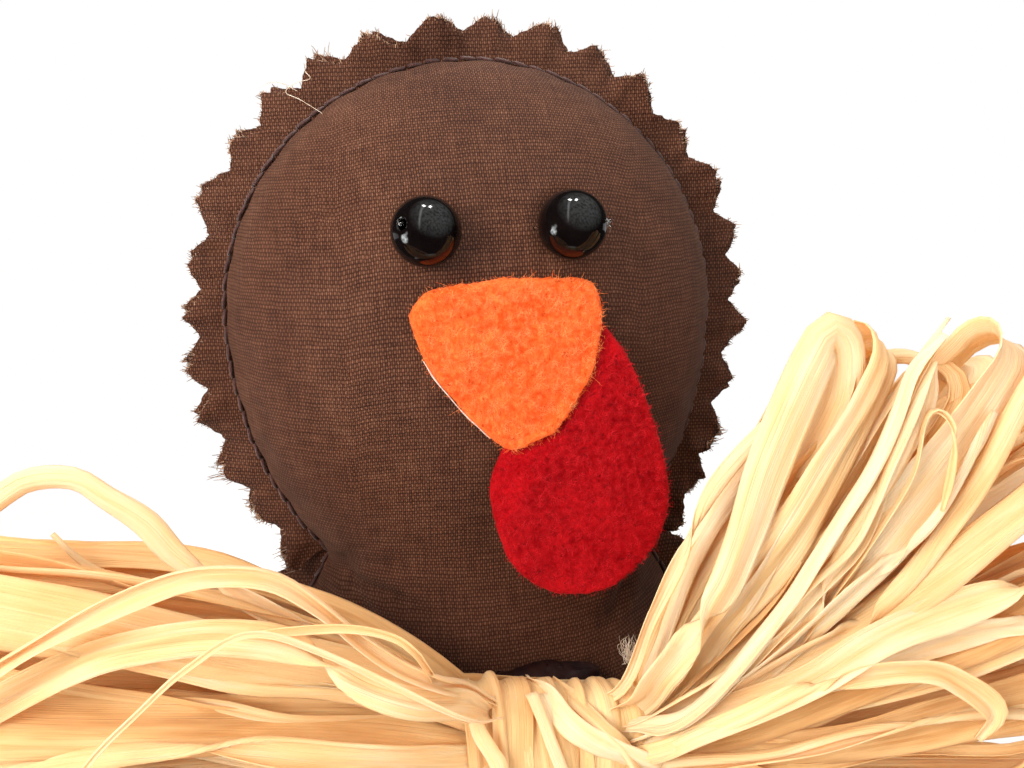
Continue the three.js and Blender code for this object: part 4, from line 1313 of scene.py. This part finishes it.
def wattle_outline():
    neck = np.array((0, (wattle_top[1] - wattle_right[1]) * wattle_neck_share))
    side_round = (wattle_right[1] - wattle_bottom[1]) * wattle_round_share
    bottom_round = (wattle_right[0] - wattle_bottom[0]) * wattle_round_share
    corners = (wattle_top, wattle_right, wattle_left, wattle_bottom)
    top, right, left, bottom = (np.array(corner, float) for corner in corners)
    curves = [
        (top, top - (wattle_top_round, 0) - neck, left + neck, left),
        (left, left - (0, side_round), bottom - (bottom_round, 0), bottom),
        (bottom, bottom + (bottom_round, 0), right - (0, side_round), right),
        (right, right + (0, side_round), top + (wattle_top_round, 0), top),
    ]
    t = np.linspace(0, 1, 80, endpoint=False)[:, None]
    line = [a * (1 - t) ** 3 + 3 * b * t * (1 - t) ** 2 + 3 * c * t * t * (1 - t) + d * t ** 3
            for a, b, c, d in curves]
    return even_places(np.concatenate(line), wattle_edge_count)


def felt_sheet(edge, back_at, thickness, seed):
    """A soft sheet with worn round edges. back_at gives the back's place over places across and up."""
    at = np.linspace(0, 1, len(edge), endpoint=False)
    middle = edge.mean(axis=0)
    size = np.linalg.norm(edge - middle, axis=1)
    ragged = felt_ragged * wave_noise(np.sin(at * 2 * math.pi) + 3 * at * (1 - at), seed, 14, 0.9)
    half = thickness / 2
    rows = []
    for front in (True, False):
        for share in (felt_shares if front else felt_shares[::-1]):
            reach = share + (ragged / size) * share ** 6
            x, z = (middle + (edge - middle) * reach[:, None]).T
            inset = np.minimum((1 - share) * size, half)
            drop = half - np.sqrt(np.maximum(0, half ** 2 - (half - inset) ** 2))
            lump = wave_noise(x + 0.7 * z, seed + 1, 6, 7) + wave_noise(z - 0.6 * x, seed + 2, 6, 6)
            back = back_at(x, z)
            y = back - thickness + drop + felt_lump * lump if front else back - drop
            rows.append(np.stack([x, y, z], axis=1))
    return np.concatenate(rows), ring_faces(len(rows), len(edge), inward=True)


def fibre_mesh(paths, thickness):
    """Many fine fibres at once, each a three-sided thread that thins to its end."""
    count, stations, _ = paths.shape
    along = unit(np.gradient(paths, axis=1))
    guide = np.where(np.abs(along[..., 1:2]) < 0.8, [[[0.0, 1.0, 0.0]]], [[[1.0, 0.0, 0.0]]])
    across = unit(np.cross(along, guide))
    other = np.cross(along, across)
    size = thickness / 2 * (1 - 0.55 * np.linspace(0, 1, stations) ** 2)[None, :, None]
    turns = [2 * math.pi * k / 3 for k in range(3)]
    rings = [paths + size * (math.cos(turn) * across + math.sin(turn) * other) for turn in turns]
    faces = np.array(ring_faces(stations, 3, ends=False)) + np.arange(count)[:, None, None] * stations * 3
    return np.stack(rings, axis=2).reshape(-1, 3), [tuple(face) for face in faces.reshape(-1, 4).tolist()]


def felt_fuzz(points, edge_count, seed, count):
    """Curled fibres that stand off the front and the edge of a felt sheet."""
    draw = np.random.default_rng(seed)
    front = points[:felt_rows * edge_count]
    weights = np.repeat(felt_shares * np.gradient(felt_shares), edge_count)
    chosen = draw.choice(len(front), count, p=weights / weights.sum())
    anchors = front[chosen] + draw.normal(0, fuzz_stray, (count, 3)) * (1, 0.2, 1)
    turn = draw.uniform(0, 2 * math.pi, count)
    way = np.stack([np.cos(turn), -np.abs(draw.normal(0.05, fuzz_out_share, count)), np.sin(turn)], axis=1)
    length = fuzz_length + draw.exponential(fuzz_extra, count)
    inner = chosen < (felt_rows - 7) * edge_count
    at_edge = np.minimum(0.55 * length, longest_edge_fuzz)
    length = np.where(inner, np.minimum(length, longest_fuzz), at_edge)[:, None, None]
    share = np.linspace(0, 1, 6)[None, :, None]
    bend = draw.normal(0, 0.6, (count, 1, 3)) * (1, 0.35, 1)
    twist = draw.normal(0, 0.3, (count, 1, 3)) * (1, 0.4, 1)
    shape = share * way[:, None] + share ** 2 * bend + 0.35 * np.sin(share * 7) * twist
    return fibre_mesh(anchors[:, None] + length * shape, fuzz_thickness)


def curled_hairs(places, ways, seed, thickness, curl):
    """Long loose hairs: each starts at its place and wanders towards its way."""
    draw = np.random.default_rng(seed)
    share = np.linspace(0, 1, 14)[None, :, None]
    ways = ways[:, None]
    length = np.linalg.norm(ways, axis=2, keepdims=True)
    bend = draw.normal(0, curl, ways.shape) * length * 0.5
    twist = draw.normal(0, curl, ways.shape) * length * 0.12
    shape = share * ways + share * (1 - share) * bend + np.sin(share * 8) * twist
    return fibre_mesh(places[:, None] + shape, thickness)


def glue_line_path(edge, front):
    """The line of glue along the beak's lower left edge, and how thick it is from place to place."""
    edge = edge + glue_line_out * unit(edge - edge.mean(axis=0))
    shown = edge[(edge[:, 0] < glue_line[0]) & (edge[:, 1] < glue_line[1])]
    line = shown[np.argsort(-shown[:, 1])]
    at = np.arange(len(line))
    stray = np.stack([wave_noise(at, 65, 4, 60.0), wave_noise(at, 66, 4, 70.0)], axis=1)
    line = line + glue_line_stray * stray
    lift = glue_line_lift + glue_line_relief * np.abs(wave_noise(at, 67, 3, 60.0))
    y = front(line[:, 0], line[:, 1]) - lift
    return np.stack([line[:, 0], y, line[:, 1]], axis=1), 0.4 + 0.6 * np.abs(wave_noise(at, 68, 4, 50.0))


def make_felt(cover_front):
    low, high = np.array(fold_low), np.array(fold_high)
    along = unit(high - low)
    away = np.array([along[1], -along[0]])

    def smooth_front(x, z):
        r, d = front_sample, diagonal_sample
        spots = [(0, 0), (r, 0), (-r, 0), (0, r), (0, -r), (d, d), (-d, d), (d, -d), (-d, -d)]
        return np.mean([cover_front(x + a, z + b) for a, b in spots], axis=0)

    def past_fold(x, z):
        return (x - low[0]) * away[0] + (z - low[1]) * away[1]

    def wattle_back(x, z):
        past = past_fold(x, z)
        tab = np.minimum(smooth_front(x, z), -panel_front - depth_at(x, z)) - wattle_out
        hang = smooth_share((past + hang_start) / hang_reach)
        curl = waved(x * 0.8 + z, wattle_curl_wave) * smooth_share(past / wattle_curl_reach)
        return tab * (1 - hang) + np.minimum(-panel_front - lobe_out, tab) * hang + curl

    def beak_back(x, z):
        over = smooth_share((past_fold(x, z) + tab_reach + lift_start) / lift_reach)
        rest = smooth_front(x, z) - beak_sink
        return rest * (1 - over) + np.minimum(rest, wattle_back(x, z) - wattle_thickness + felt_press) * over

    beak_edge, wattle_edge = beak_outline(), wattle_outline()
    points, faces = felt_sheet(beak_edge, beak_back, beak_thickness, 61)
    dress(make_object("beak_felt", points, faces), orange_felt, nodes=("beak",))
    fuzz = make_object("beak_fuzz", *felt_fuzz(points, len(beak_edge), 62, beak_fuzz_count))
    dress(fuzz, orange_fibre)
    points, faces = felt_sheet(wattle_edge, wattle_back, wattle_thickness, 63)
    wattle = make_object("wattle_felt", points, faces)
    dress(wattle, red_felt, body=None, nodes=("wattle_tab", "wattle_lobe"))
    fuzz = make_object("wattle_fuzz", *felt_fuzz(points, len(wattle_edge), 64, wattle_fuzz_count))
    dress(fuzz, red_fibre, body=None)
    for part in (wattle, fuzz):
        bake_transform(part)
    path, taper = glue_line_path(beak_edge, smooth_front)
    dress(make_object("beak_glue_line", *tube(path, glue_line_radius, 6, taper)), pale_glue)


# Glue and hairs

def lumpy_blob(middle, size, seed, rough):
    """A rounded lump of set glue."""
    rings, around = 34, 56
    level = np.linspace(-1, 1, rings + 2)[1:-1, None]
    turn = np.linspace(0, 2 * math.pi, around, endpoint=False)
    across = ellipse_share(level)
    ball = np.stack(np.broadcast_arrays(across * np.cos(turn), across * np.sin(turn), level), axis=-1)
    points = np.concatenate([ball.reshape(-1, 3), [[0, 0, -1], [0, 0, 1]]])
    ways = np.array([(1, 0.3, 0.2), (-0.2, 1, 0.4), (0.3, -0.2, 1)])
    wave = sum(wave_noise(points @ way, seed + k, 4, 1.6) for k, way in enumerate(ways))
    low, high = rings * around, rings * around + 1
    faces = ring_faces(rings, around, ends=False)
    for k in range(around):
        after = (k + 1) % around
        faces += [(low, after, k), (high, low - around + k, low - around + after)]
    return points * (1 + rough * wave[:, None] / 1.7) * size + middle, faces


def make_glue():
    middle = np.array((bow_x, 0, 0))
    pad = [lumpy_blob(middle + place, size, seed, rough) for place, size, seed, rough in glue_lumps]
    # The glue pad wears painted shade: nearly black, like the shaded cloth it sits on.
    dress(make_object("glue_pad", *joined(pad)), glue_painted_shade, nodes=("bow_glue",))


def make_hairs():
    """Pale stray hairs on the frill, and the wisp that stands out of the glue beside the bow."""
    parts = [tube(smooth_line(places, 40), hair_radius, 5) for places in stray_hair_places]
    draw = np.random.default_rng(91)
    roots = np.array(wisp_place) + draw.normal(0, wisp_root_spread, (wisp_count, 3))
    ways = np.array(wisp_way) + draw.normal(0, wisp_spread, (wisp_count, 3))
    parts.append(curled_hairs(roots, ways, 92, wisp_thickness, 0.5))
    dress(make_object("stray_hairs", *joined(parts)), pale_fibre)


# Eyes

def bead_mesh():
    """A drilled bead about the x axis, with the rims of its bore rounded."""
    open_angle = math.asin((bead_bore + bead_rim) / bead_radius)
    angles = np.linspace(open_angle, math.pi - open_angle, 40)
    ball = [(bead_radius * math.cos(a), bead_radius * math.sin(a)) for a in angles]
    mouth = bead_radius * math.cos(open_angle)
    rim = [(mouth - bead_rim * (1 - math.cos(t)) * 0.9, bead_bore + bead_rim * (1 - math.sin(t)))
           for t in np.linspace(0.25, math.pi / 2, 6)]
    profile = rim[::-1] + ball + [(-x, r) for x, r in rim]
    turn = np.linspace(0, 2 * math.pi, bead_around, endpoint=False)
    rings = [np.stack([np.full(bead_around, x), r * np.cos(turn), r * np.sin(turn)], axis=1)
             for x, r in profile]
    points = np.concatenate(rings)
    faces = ring_faces(len(rings) + 1, bead_around, ends=False)
    return points, [tuple(i % len(points) for i in face) for face in faces]


def make_beads():
    for side, name in ((-1, "left"), (1, "right")):
        centre = np.array((side * eye_spacing / 2, -bead_out, eye_height))
        axis = unit(np.array(bead_axes[name]))
        level = unit(np.cross((0, 0, 1), axis))
        points, faces = bead_mesh()
        turned = np.stack([axis, level, np.cross(axis, level)])
        bead = make_object(f"glass_bead_{name}", points @ turned + centre, faces)
        dress(bead, bead_glass, nodes=(f"eye_bead_{name}",))
        start, end = (centre + sign * axis * bead_radius * 1.04 for sign in (-1, 1))
        into = np.array((0, eye_thread_depth, 0))
        path = smooth_line([start + into, start * 0.98 + centre * 0.02, centre, end, end + into], 48)
        draw = np.random.default_rng(81 + side)
        loops = knot_loops[name]
        roots = centre + (axis * side) * bead_radius * 1.03 + draw.normal(0, knot_spread, (loops, 3))
        knot = curled_hairs(roots, draw.normal(0, knot_reach, (loops, 3)), 83 + side, knot_thickness, 1.2)
        tied = make_object(f"clear_thread_{name}", *joined([tube(path, eye_thread_radius, 8), knot]))
        dress(tied, clear_thread, nodes=(f"eye_thread_{name}",))


# Raffia

def leaf_profile(widths, bends, length, draw, seed, pleat, columns, creases, crease, flattened):
    """The cross-section of a leaf at each place along it: sideways and outward places, and its turn."""
    u = np.linspace(-1, 1, columns)[None]
    angle = bends[:, None] / 2 * u
    for k in range(creases):
        place = draw.uniform(-0.8, 0.8) + 0.16 * wave_noise(length, seed + 20 + k, 3, crease_wander_length)
        turn = draw.choice([-1, 1]) * crease * draw.uniform(0.5, 1.5)
        turn = turn * (1 + 0.4 * wave_noise(length, seed + 30 + k, 3, crease_turn_length))
        angle = angle + turn[:, None] * (smooth_share((u - place[:, None]) / 0.34 + 0.5) - 0.5)
    if flattened:
        angle = angle - (angle[:, -1:] - angle[:, :1]) / 2 * u
        angle = angle - np.mean(angle, axis=1, keepdims=True)
    step = widths[:, None] / (columns - 1)
    between = (angle[:, 1:] + angle[:, :-1]) / 2
    x, y = (np.pad(np.cumsum(turn(between), axis=1), ((0, 0), (1, 0))) * step for turn in (np.cos, np.sin))
    x, y = (v - (v.max(axis=1, keepdims=True) + v.min(axis=1, keepdims=True)) / 2 for v in (x, y))
    drift = wave_noise(length, seed + 3, 3, ridge_drift_length)[:, None]
    ridges = np.zeros_like(y)
    for _ in range(3):
        waves = draw.uniform(1.2, 3.6)
        ridges += draw.normal(0, 0.6) * np.sin(math.pi * waves * u + draw.uniform(0, 6) + 0.7 * drift)
    return x, y + pleat * np.minimum(1, widths[:, None] / full_pleat_width) * ridges, angle


def leaf(path, across, widths, bends, seed, pleat, creases, crease, tint_and_shade=None, columns=13, flattened=False):
    """A strip of leaf along a path. Its faces turn as `across` says, it curls lengthwise by `bends`, and a
    few lengthwise creases wander over it. A flattened strip keeps its creases and lies flat as a whole."""
    draw = np.random.default_rng(seed)
    along = unit(np.gradient(path, axis=0))
    across = unit(across - along * np.sum(across * along, axis=1)[:, None])
    through = np.cross(along, across)
    length = run_along(path)
    x, y, angle = leaf_profile(widths, bends, length, draw, seed, pleat, columns, creases, crease, flattened)
    u = np.linspace(-1, 1, columns)
    edge = strand_thickness / 2 * (1 - 0.5 * np.abs(u[None]) ** 6)
    sheets = []
    for sign in (1, -1):
        px = x - sign * edge * np.sin(angle)
        py = y + sign * edge * np.cos(angle)
        sheets.append(path[:, None] + px[..., None] * across[:, None] + py[..., None] * through[:, None])
    points = np.concatenate([sheets[0], sheets[1][:, ::-1]], axis=1).reshape(-1, 3)
    run = np.concatenate([u, u[::-1]])[None] * widths[:, None] / 2 + draw.uniform(0, 400)
    far = np.repeat(length[:, None], 2 * columns, axis=1) + draw.uniform(0, 900)
    uv = np.stack([run.ravel(), far.ravel()], axis=1)
    tints_and_shades = np.full(len(points), draw.uniform(0, 1) if tint_and_shade is None else tint_and_shade)
    return points, ring_faces(len(path), 2 * columns), uv, tints_and_shades


def raffia_object(name, leaves, nodes=()):
    made = make_object(name, *joined([(points, faces) for points, faces, _, _ in leaves]))
    set_uv(made, "fibre", np.concatenate([uv for _, _, uv, _ in leaves]))
    set_value(made, "tint_and_shade", np.concatenate([tints_and_shades for _, _, _, tints_and_shades in leaves]))
    return dress(made, raffia, nodes=nodes)


def row_height(row):
    return bow_height + (row - (rows_per_layer - 1) / 2) * row_pitch


def row_tint_and_shade(draw, row):
    """The tint of a leaf and a painted shade: the low rows of a fan are painted darker."""
    # A random tint, plus painted shade that darkens the lower rows.
    return 0.66 * draw.uniform(0, 1) + 0.34 * row / (rows_per_layer - 1)


def fan_route(fan, row, layer, turn, stretch, count):
    """Middle line of one row of a fan from inside the band to its end, the way up across it, how many of its
    places are inside, and the share of the way from the band to the end."""
    side = fan["side"]
    rise = row + 0.5 if layer < 0 else row
    angle = math.radians(fan["low"] + (fan["high"] - fan["low"]) * rise / (rows_per_layer - 0.5) + turn)
    length = fan_length * float(np.interp(row, range(rows_per_layer), fan["lengths"])) * stretch
    first = angle * fan["start_turn"]
    start = np.array([bow_x + side * band_width / 2, row_height(row)])
    a = start + length * fan["start"] * np.array([side * math.cos(first), math.sin(first)])
    b = start + length * np.array([side * math.cos(angle), math.sin(angle)])
    t = np.linspace(0, 1, count)[:, None]
    inner = np.array([bow_x + side * fan_root, row_height(row)])
    inside = inner + (start - inner) * np.linspace(0, 1, 7)[:-1, None]
    line = np.concatenate([inside, start * (1 - t) ** 2 + 2 * a * t * (1 - t) + b * t * t])
    held = 1 - smooth_share(np.concatenate([np.zeros(len(inside)), t[:, 0]]) / pack_reach_share)
    tilt = band_tilt * np.clip(line[:, 0] - bow_x, -band_width / 2, band_width / 2) / (band_height / 2)
    line[:, 1] -= held * (row_height(row) - bow_height) * (1 - pack_share + tilt)
    way = unit(np.gradient(line, axis=0))
    share = np.clip((np.arange(len(line)) - len(inside)) / (count - 1), 0, 1)
    return line, np.stack([-way[:, 1], way[:, 0]], axis=1), share


def rolled(flat, roll):
    """Ways across a leaf, turned about the leaf from flat by `roll`."""
    return np.cos(roll)[:, None] * flat + np.sin(roll)[:, None] * np.array([0.0, 1.0, 0.0])


def laid_out(line, up, aside, depth, roll):
    """Places beside a fan's row and at their depth, and the ways across the leaf there."""
    flat = line + up * aside[:, None]
    upward = np.stack([up[:, 0], np.zeros(len(up)), up[:, 1]], axis=1)
    return np.stack([flat[:, 0], depth, flat[:, 1]], axis=1), rolled(upward, roll)


def widened(width, share, seed):
    """The width of a leaf of a fan: narrow where the band gathers it, then full and a little uneven."""
    broad = gathered_width + (width - gathered_width) * smooth_share(share / 0.3)
    return broad * (1 + 0.12 * wave_noise(share, seed, 4, 0.8))


def raffia_loop(fan, row, layer, seed, width, turn=0.0, stretch=1.0, depth=0.0, lean=None, main=False):
    """One looped leaf: out from the band, round a tight end and back. A loop's main leaf curls inwards."""
    draw = np.random.default_rng(seed)
    line, up, share = fan_route(fan, row, layer, turn, stretch, 26)
    lean = draw.uniform(-1.1, 1.1) if lean is None else lean
    stand = loop_leg_gap * 0.42 * (1 - share) + loop_bulge * 0.85 * np.sin(0.86 * math.pi * share)
    stand = stand + draw.uniform(*loop_tip_gaps) * share
    middle = band_middle + layer * (bunch_half_depth / 2 + layer_spread * smooth_share(share)) + depth * share
    legs = []
    for k, sign in enumerate((-1, 1)):
        wander = leg_wander * wave_noise(share, seed * 7 + k, 4, 1.7) * share * (1 - 0.45 * share)
        shift = draw.uniform(-leg_shift, leg_shift) * (1 - share)
        sway = leg_sway * wave_noise(share, seed * 11 + k, 3, 1.2) * share * (1 - share)
        rest = draw.uniform(-0.55, 0.55)
        roll = rest + (-lean * fan["side"] - rest) * smooth_share((share - 0.45) / 0.5)
        roll = roll + draw.uniform(-0.5, 0.5) * (1 - share)
        gap = stand * sign
        aside = gap * math.sin(lean) + wander + shift
        places, face = laid_out(line, up, aside, middle + gap * math.cos(lean) + sway, roll)
        curl = draw.uniform(0.4, 2.2) * draw.choice([-1, 1])
        if main:
            curl = main_leaf_width / width * (leaf_curl if row % 2 else leaf_curl * flatter_curl_share) * sign
        bend = gathered_curl * sign * (1 - smooth_share(share / 0.2)) + curl * np.sin(math.pi * share) ** 0.7
        legs.append((places, face, bend, widened(width, share, seed * 13 + k)))
    (first, first_face, first_bend, first_wide), (second, second_face, second_bend, second_wide) = legs
    centre = (first[-1] + second[-1]) / 2
    radius_way = (first[-1] - second[-1]) / 2
    tip_way = unit(first[-1] - first[-2]) * np.linalg.norm(radius_way) * 1.25
    turns = np.linspace(0, math.pi, 9)[1:-1]
    tip = [centre + radius_way * math.cos(a) + tip_way * math.sin(a) for a in turns]

    def over_tip(out, back):
        return np.concatenate([out, np.linspace(out[-1], back[-1], 9)[1:-1], back[::-1]])

    bend = np.concatenate([first_bend, np.full(len(tip), 0.05), -second_bend[::-1]])
    return leaf(np.concatenate([first, tip, second[::-1]]), over_tip(first_face, second_face),
                over_tip(first_wide, second_wide), bend, seed * 17 + 1, draw.uniform(0.06, 0.14), 3,
                0.6 if main else 1.0, row_tint_and_shade(draw, row))


def raffia_end(fan, row, layer, seed, width, turn, stretch):
    """One cut leaf of a fan: out from the band, wandering and twisting, to a free end that turns over."""
    draw = np.random.default_rng(seed)
    line, up, share = fan_route(fan, row, layer, turn, stretch, 34)
    over = smooth_share((share - draw.uniform(0.72, 0.86)) / 0.25) ** 2
    wander = end_wander * wave_noise(share, seed * 7, 4, 1.5) * share
    wander = wander + draw.uniform(-end_shift, end_shift) * (1 - share)
    wander = wander + draw.uniform(-end_turn, end_turn) * over
    spread = 1.5 * layer_spread * smooth_share(share / 0.5) * (1 - 0.4 * share)
    depth = band_middle + layer * (bunch_half_depth / 2 + spread)
    depth = depth + end_sway * wave_noise(share, seed * 11, 3, 1.1) * share
    depth = depth + draw.uniform(-end_dip, end_dip) * over
    rest, twist = draw.uniform(-0.9, 0.9), draw.choice([-1, 0, 0, 1]) * math.pi
    roll = rest + twist * smooth_share((share - draw.uniform(0.2, 0.7)) / 0.18)
    roll = roll + 0.5 * wave_noise(share, seed * 13, 3, 1.3) * share
    places, face = laid_out(line, up, wander, depth, roll)
    curl = draw.choice([0.8, 1.6, 3.6, 5.2]) - gathered_curl
    uneven = 1 + 0.25 * wave_noise(share, seed * 17, 3, 0.8)
    bend = gathered_curl + curl * smooth_share(share / 0.3) * uneven
    broad = widened(width, share, seed * 19) * (1 - 0.55 * smooth_share((share - 0.85) / 0.15))
    bend = bend * draw.choice([-1, 1])
    return leaf(places, face, broad, bend, seed * 23 + 1, 0.08, 3, 0.9, row_tint_and_shade(draw, row))


def free_strand(points, width, seed, curl=1.0, turns=(), crease=0.8, count=64):
    """A loose leaf through given places. It turns over at the shares of its length named in `turns`."""
    path = smooth_line(points, count)
    share = np.linspace(0, 1, count)
    flat = unit(np.cross(unit(np.gradient(path, axis=0)), (0.0, 1.0, 0.0)))
    roll = 0.3 * wave_noise(share, seed + 5, 3, 1.3)
    narrow = np.ones(count)
    for place in turns:
        roll = roll + math.pi * smooth_share((share - place) / 0.1 + 0.5)
        narrow *= 1 - 0.45 * hump(share - place, 0.05)
    wide = width * (1 + 0.1 * wave_noise(share, seed + 6, 4, 0.6)) * narrow
    wide = wide * (0.5 + 0.5 * smooth_share(share / 0.2)) * (1 - 0.5 * smooth_share((share - 0.93) / 0.07))
    bend = curl * (1 + 0.3 * wave_noise(share, seed + 7, 3, 0.9))
    bend = bend + (strand_root_curl - curl) * (1 - smooth_share(share / 0.16))
    tint_and_shade = 0.6 + 0.4 * float(np.random.default_rng(seed).uniform())
    return leaf(path, rolled(flat, roll), wide, bend, seed + 9, 0.05, 3, crease, tint_and_shade)


def fan_leaves(fan, row, layer, seed):
    """The four leaves that stand for one loop of a fan: two looped ones and two cut ones."""
    draw = np.random.default_rng(seed)
    return [
        raffia_loop(fan, row, layer, seed, draw.uniform(5.2, 8.0), stretch=draw.uniform(0.92, 0.98),
                    lean=draw.uniform(-0.4, 0.4), main=True),
        raffia_loop(fan, row, layer, seed + 50, draw.uniform(2.6, 4.2), draw.uniform(-4, 4),
                    draw.uniform(0.8, 0.96), draw.uniform(-1.2, 1.2)),
        raffia_end(fan, row, layer, seed + 400, draw.uniform(2.4, 4.6), draw.uniform(-5, 5),
                   draw.uniform(0.78, 0.98)),
        raffia_end(fan, row, layer, seed + 700, draw.uniform(1.4, 3.4), draw.uniform(-7, 7),
                   draw.uniform(0.7, 1.0)),
    ]


def make_fans():
    for name, fan in fans.items():
        loops = [(layer, row) for layer in (-1, 1) for row in range(rows_per_layer)]
        for number, (layer, row) in enumerate(loops, 1):
            leaves = fan_leaves(fan, row, layer, fan["seed"] + number)
            raffia_object(f"raffia_{name}_{number:02d}", leaves, (f"raffia_loop_{name}_{number:02d}",))


def make_loose_strands():
    """Strands of their own course, as they show in front of and above the fans."""
    for name, places, width, curl, turns in loose_strands:
        nodes = (f"raffia_strand_{name}",) if f"raffia_strand_{name}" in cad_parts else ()
        seed = 400 + len(places) + round(10 * abs(places[-1][0]))
        raffia_object(f"raffia_loose_{name}", [free_strand(places, width, seed, curl, turns)], nodes)


def band_path(grow, count):
    """The oval round the bunch: depth and height. The bunch is fullest to the front."""
    turn = np.linspace(0, 2 * math.pi, 240, endpoint=False)
    power = 2 / band_squareness
    y = np.sign(np.cos(turn)) * np.abs(np.cos(turn)) ** power * (band_depth / 2 + grow)
    z = np.sign(np.sin(turn)) * np.abs(np.sin(turn)) ** power * (band_height / 2 + grow)
    z = z - (y + band_depth / 2) * band_slope * (z > 0)
    return even_places(np.stack([y, z], axis=1), count)


def band_places(x, ring):
    """Places round the band, pressed down and tilted. `ring` holds depth and height from its middle."""
    z = ring[:, 1] * band_squash - band_tilt * (x - bow_x) * np.clip(ring[:, 1] / (band_height / 2), 0, 1)
    return np.stack([x, band_middle + ring[:, 0], bow_height + z], axis=1)


def band_wrap(k):
    """One turn of the strip that is wound round the bunch."""
    draw = np.random.default_rng(300 + k)
    pitch = band_width / (band_turns + 0.3)
    share = np.linspace(0, 1, wrap_steps + 1)
    loop = band_path(-band_lap, wrap_steps)
    ring = np.concatenate([loop, loop[:1]])
    x = bow_x - band_width / 2 + pitch * (k + 0.4 + 0.5 * share) + waved(share, wrap_stray_wave, k)
    grow = waved(share, wrap_lift_wave, k) + wrap_lifts[k % len(wrap_lifts)]
    ring = ring * (1 + grow / np.linalg.norm(ring, axis=1))[:, None]
    outward = unit(np.stack([np.zeros(wrap_steps + 1), ring[:, 0], ring[:, 1]], axis=1))
    across = np.array([1.0, 0, 0]) + outward * (0.12 * wave_noise(share, 360 + k, 3, 0.9))[:, None]
    wide = pitch * draw.uniform(1.35, 1.7) * (1 + 0.08 * wave_noise(share, 330 + k, 4, 0.7))
    bend = 0.15 * wave_noise(share, 370 + k, 3, 0.8)
    return leaf(band_places(x, ring), across, wide, bend, 340 + k, 0.1, 7, 0.45, draw.uniform(0.35, 0.6),
                columns=31, flattened=True)


def band_tie():
    """The strip tied slantwise over the front of the band."""
    loop = band_path(band_lap, 120)
    loop = np.roll(loop, -np.argmax(loop[:, 1] - 0.6 * loop[:, 0]), axis=0)
    if loop[6, 0] > loop[0, 0]:
        loop = np.roll(loop[::-1], 1, axis=0)
    front = loop[:72]
    share = np.linspace(0, 1, len(front))
    path = band_places(bow_x + tie_top + (tie_bottom - tie_top) * share, front)
    across = np.repeat([[1.0, 0, 0]], len(front), axis=0)
    wide = tie_width * (1 + 0.12 * wave_noise(share, 351, 4, 0.7))
    return leaf(path, across, wide, np.full(len(front), 1.1), 352, 0.08, 3, 0.9, columns=17)


def make_band():
    leaves = [band_wrap(k) for k in range(band_turns)]
    leaves += [free_strand(places, width, seed, 0.35, (), 0.7, 40) for places, width, seed in band_slants]
    raffia_object("raffia_wound_band", leaves, ("raffia_band_wrap",))
    raffia_object("raffia_tie", [band_tie()], ("raffia_band_tie",))


def dress_hidden_nodes():
    """Materials for the nodes that keep their solids: the glue behind the beak, and what the cloth hides."""
    materials = {
        "beak_glue": clear_material("clear_glue", (150, 128, 108), (170, 148, 128)),
        "base_panel": speckled_material("base_cloth", (92, 58, 44), (126, 86, 67), 1400, 4, 0.85, 0.08),
        "base_board": speckled_material("board", (170, 140, 100), (198, 170, 130), 300, 4, 0.9, 0.1),
        "weight_pouch": speckled_material(
            "pouch_cloth", (205, 200, 190), (228, 224, 216), 1500, 4, 0.9, 0.08),
    }
    for node, material in materials.items():
        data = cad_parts[node].data
        data.materials.clear()
        data.materials.append(material)


make_camera()
make_world()
make_floor()
make_lights()
make_dim_room()
cloth = cloth_material()
thread = speckled_material(
    "sewing_thread", (44, 22, 20), (82, 48, 42), 4200, 1, 0.6, thread_relief, Sheen_Weight=0.2)
loose_thread = speckled_material("loose_cotton", (98, 64, 46), (180, 142, 112), 900, 1, 0.8, Sheen_Weight=0.3)
orange_felt = felt_material("orange_felt", *orange_felt_colours)
red_felt = felt_material("red_felt", *red_felt_colours)
orange_fibre = fibre_material("orange_fibre", (242, 98, 36), (255, 158, 96))
red_fibre = fibre_material("red_fibre", (158, 6, 14), (212, 36, 44))
pale_fibre = fibre_material("pale_fibre", (196, 172, 148), (240, 226, 206))
pale_glue = speckled_material("pale_glue", (206, 190, 176), (240, 232, 222), 900, 4, 0.35, pale_glue_relief)
glue_painted_shade = glue_painted_shade_material()
clear_thread = clear_material("clear_thread", (235, 235, 232), (255, 255, 252))
bead_glass = bead_material()
raffia = raffia_material()
make_felt(front_surface(make_cover()))
make_beads()
make_glue()
make_hairs()
make_fans()
make_loose_strands()
make_band()
dress_hidden_nodes()
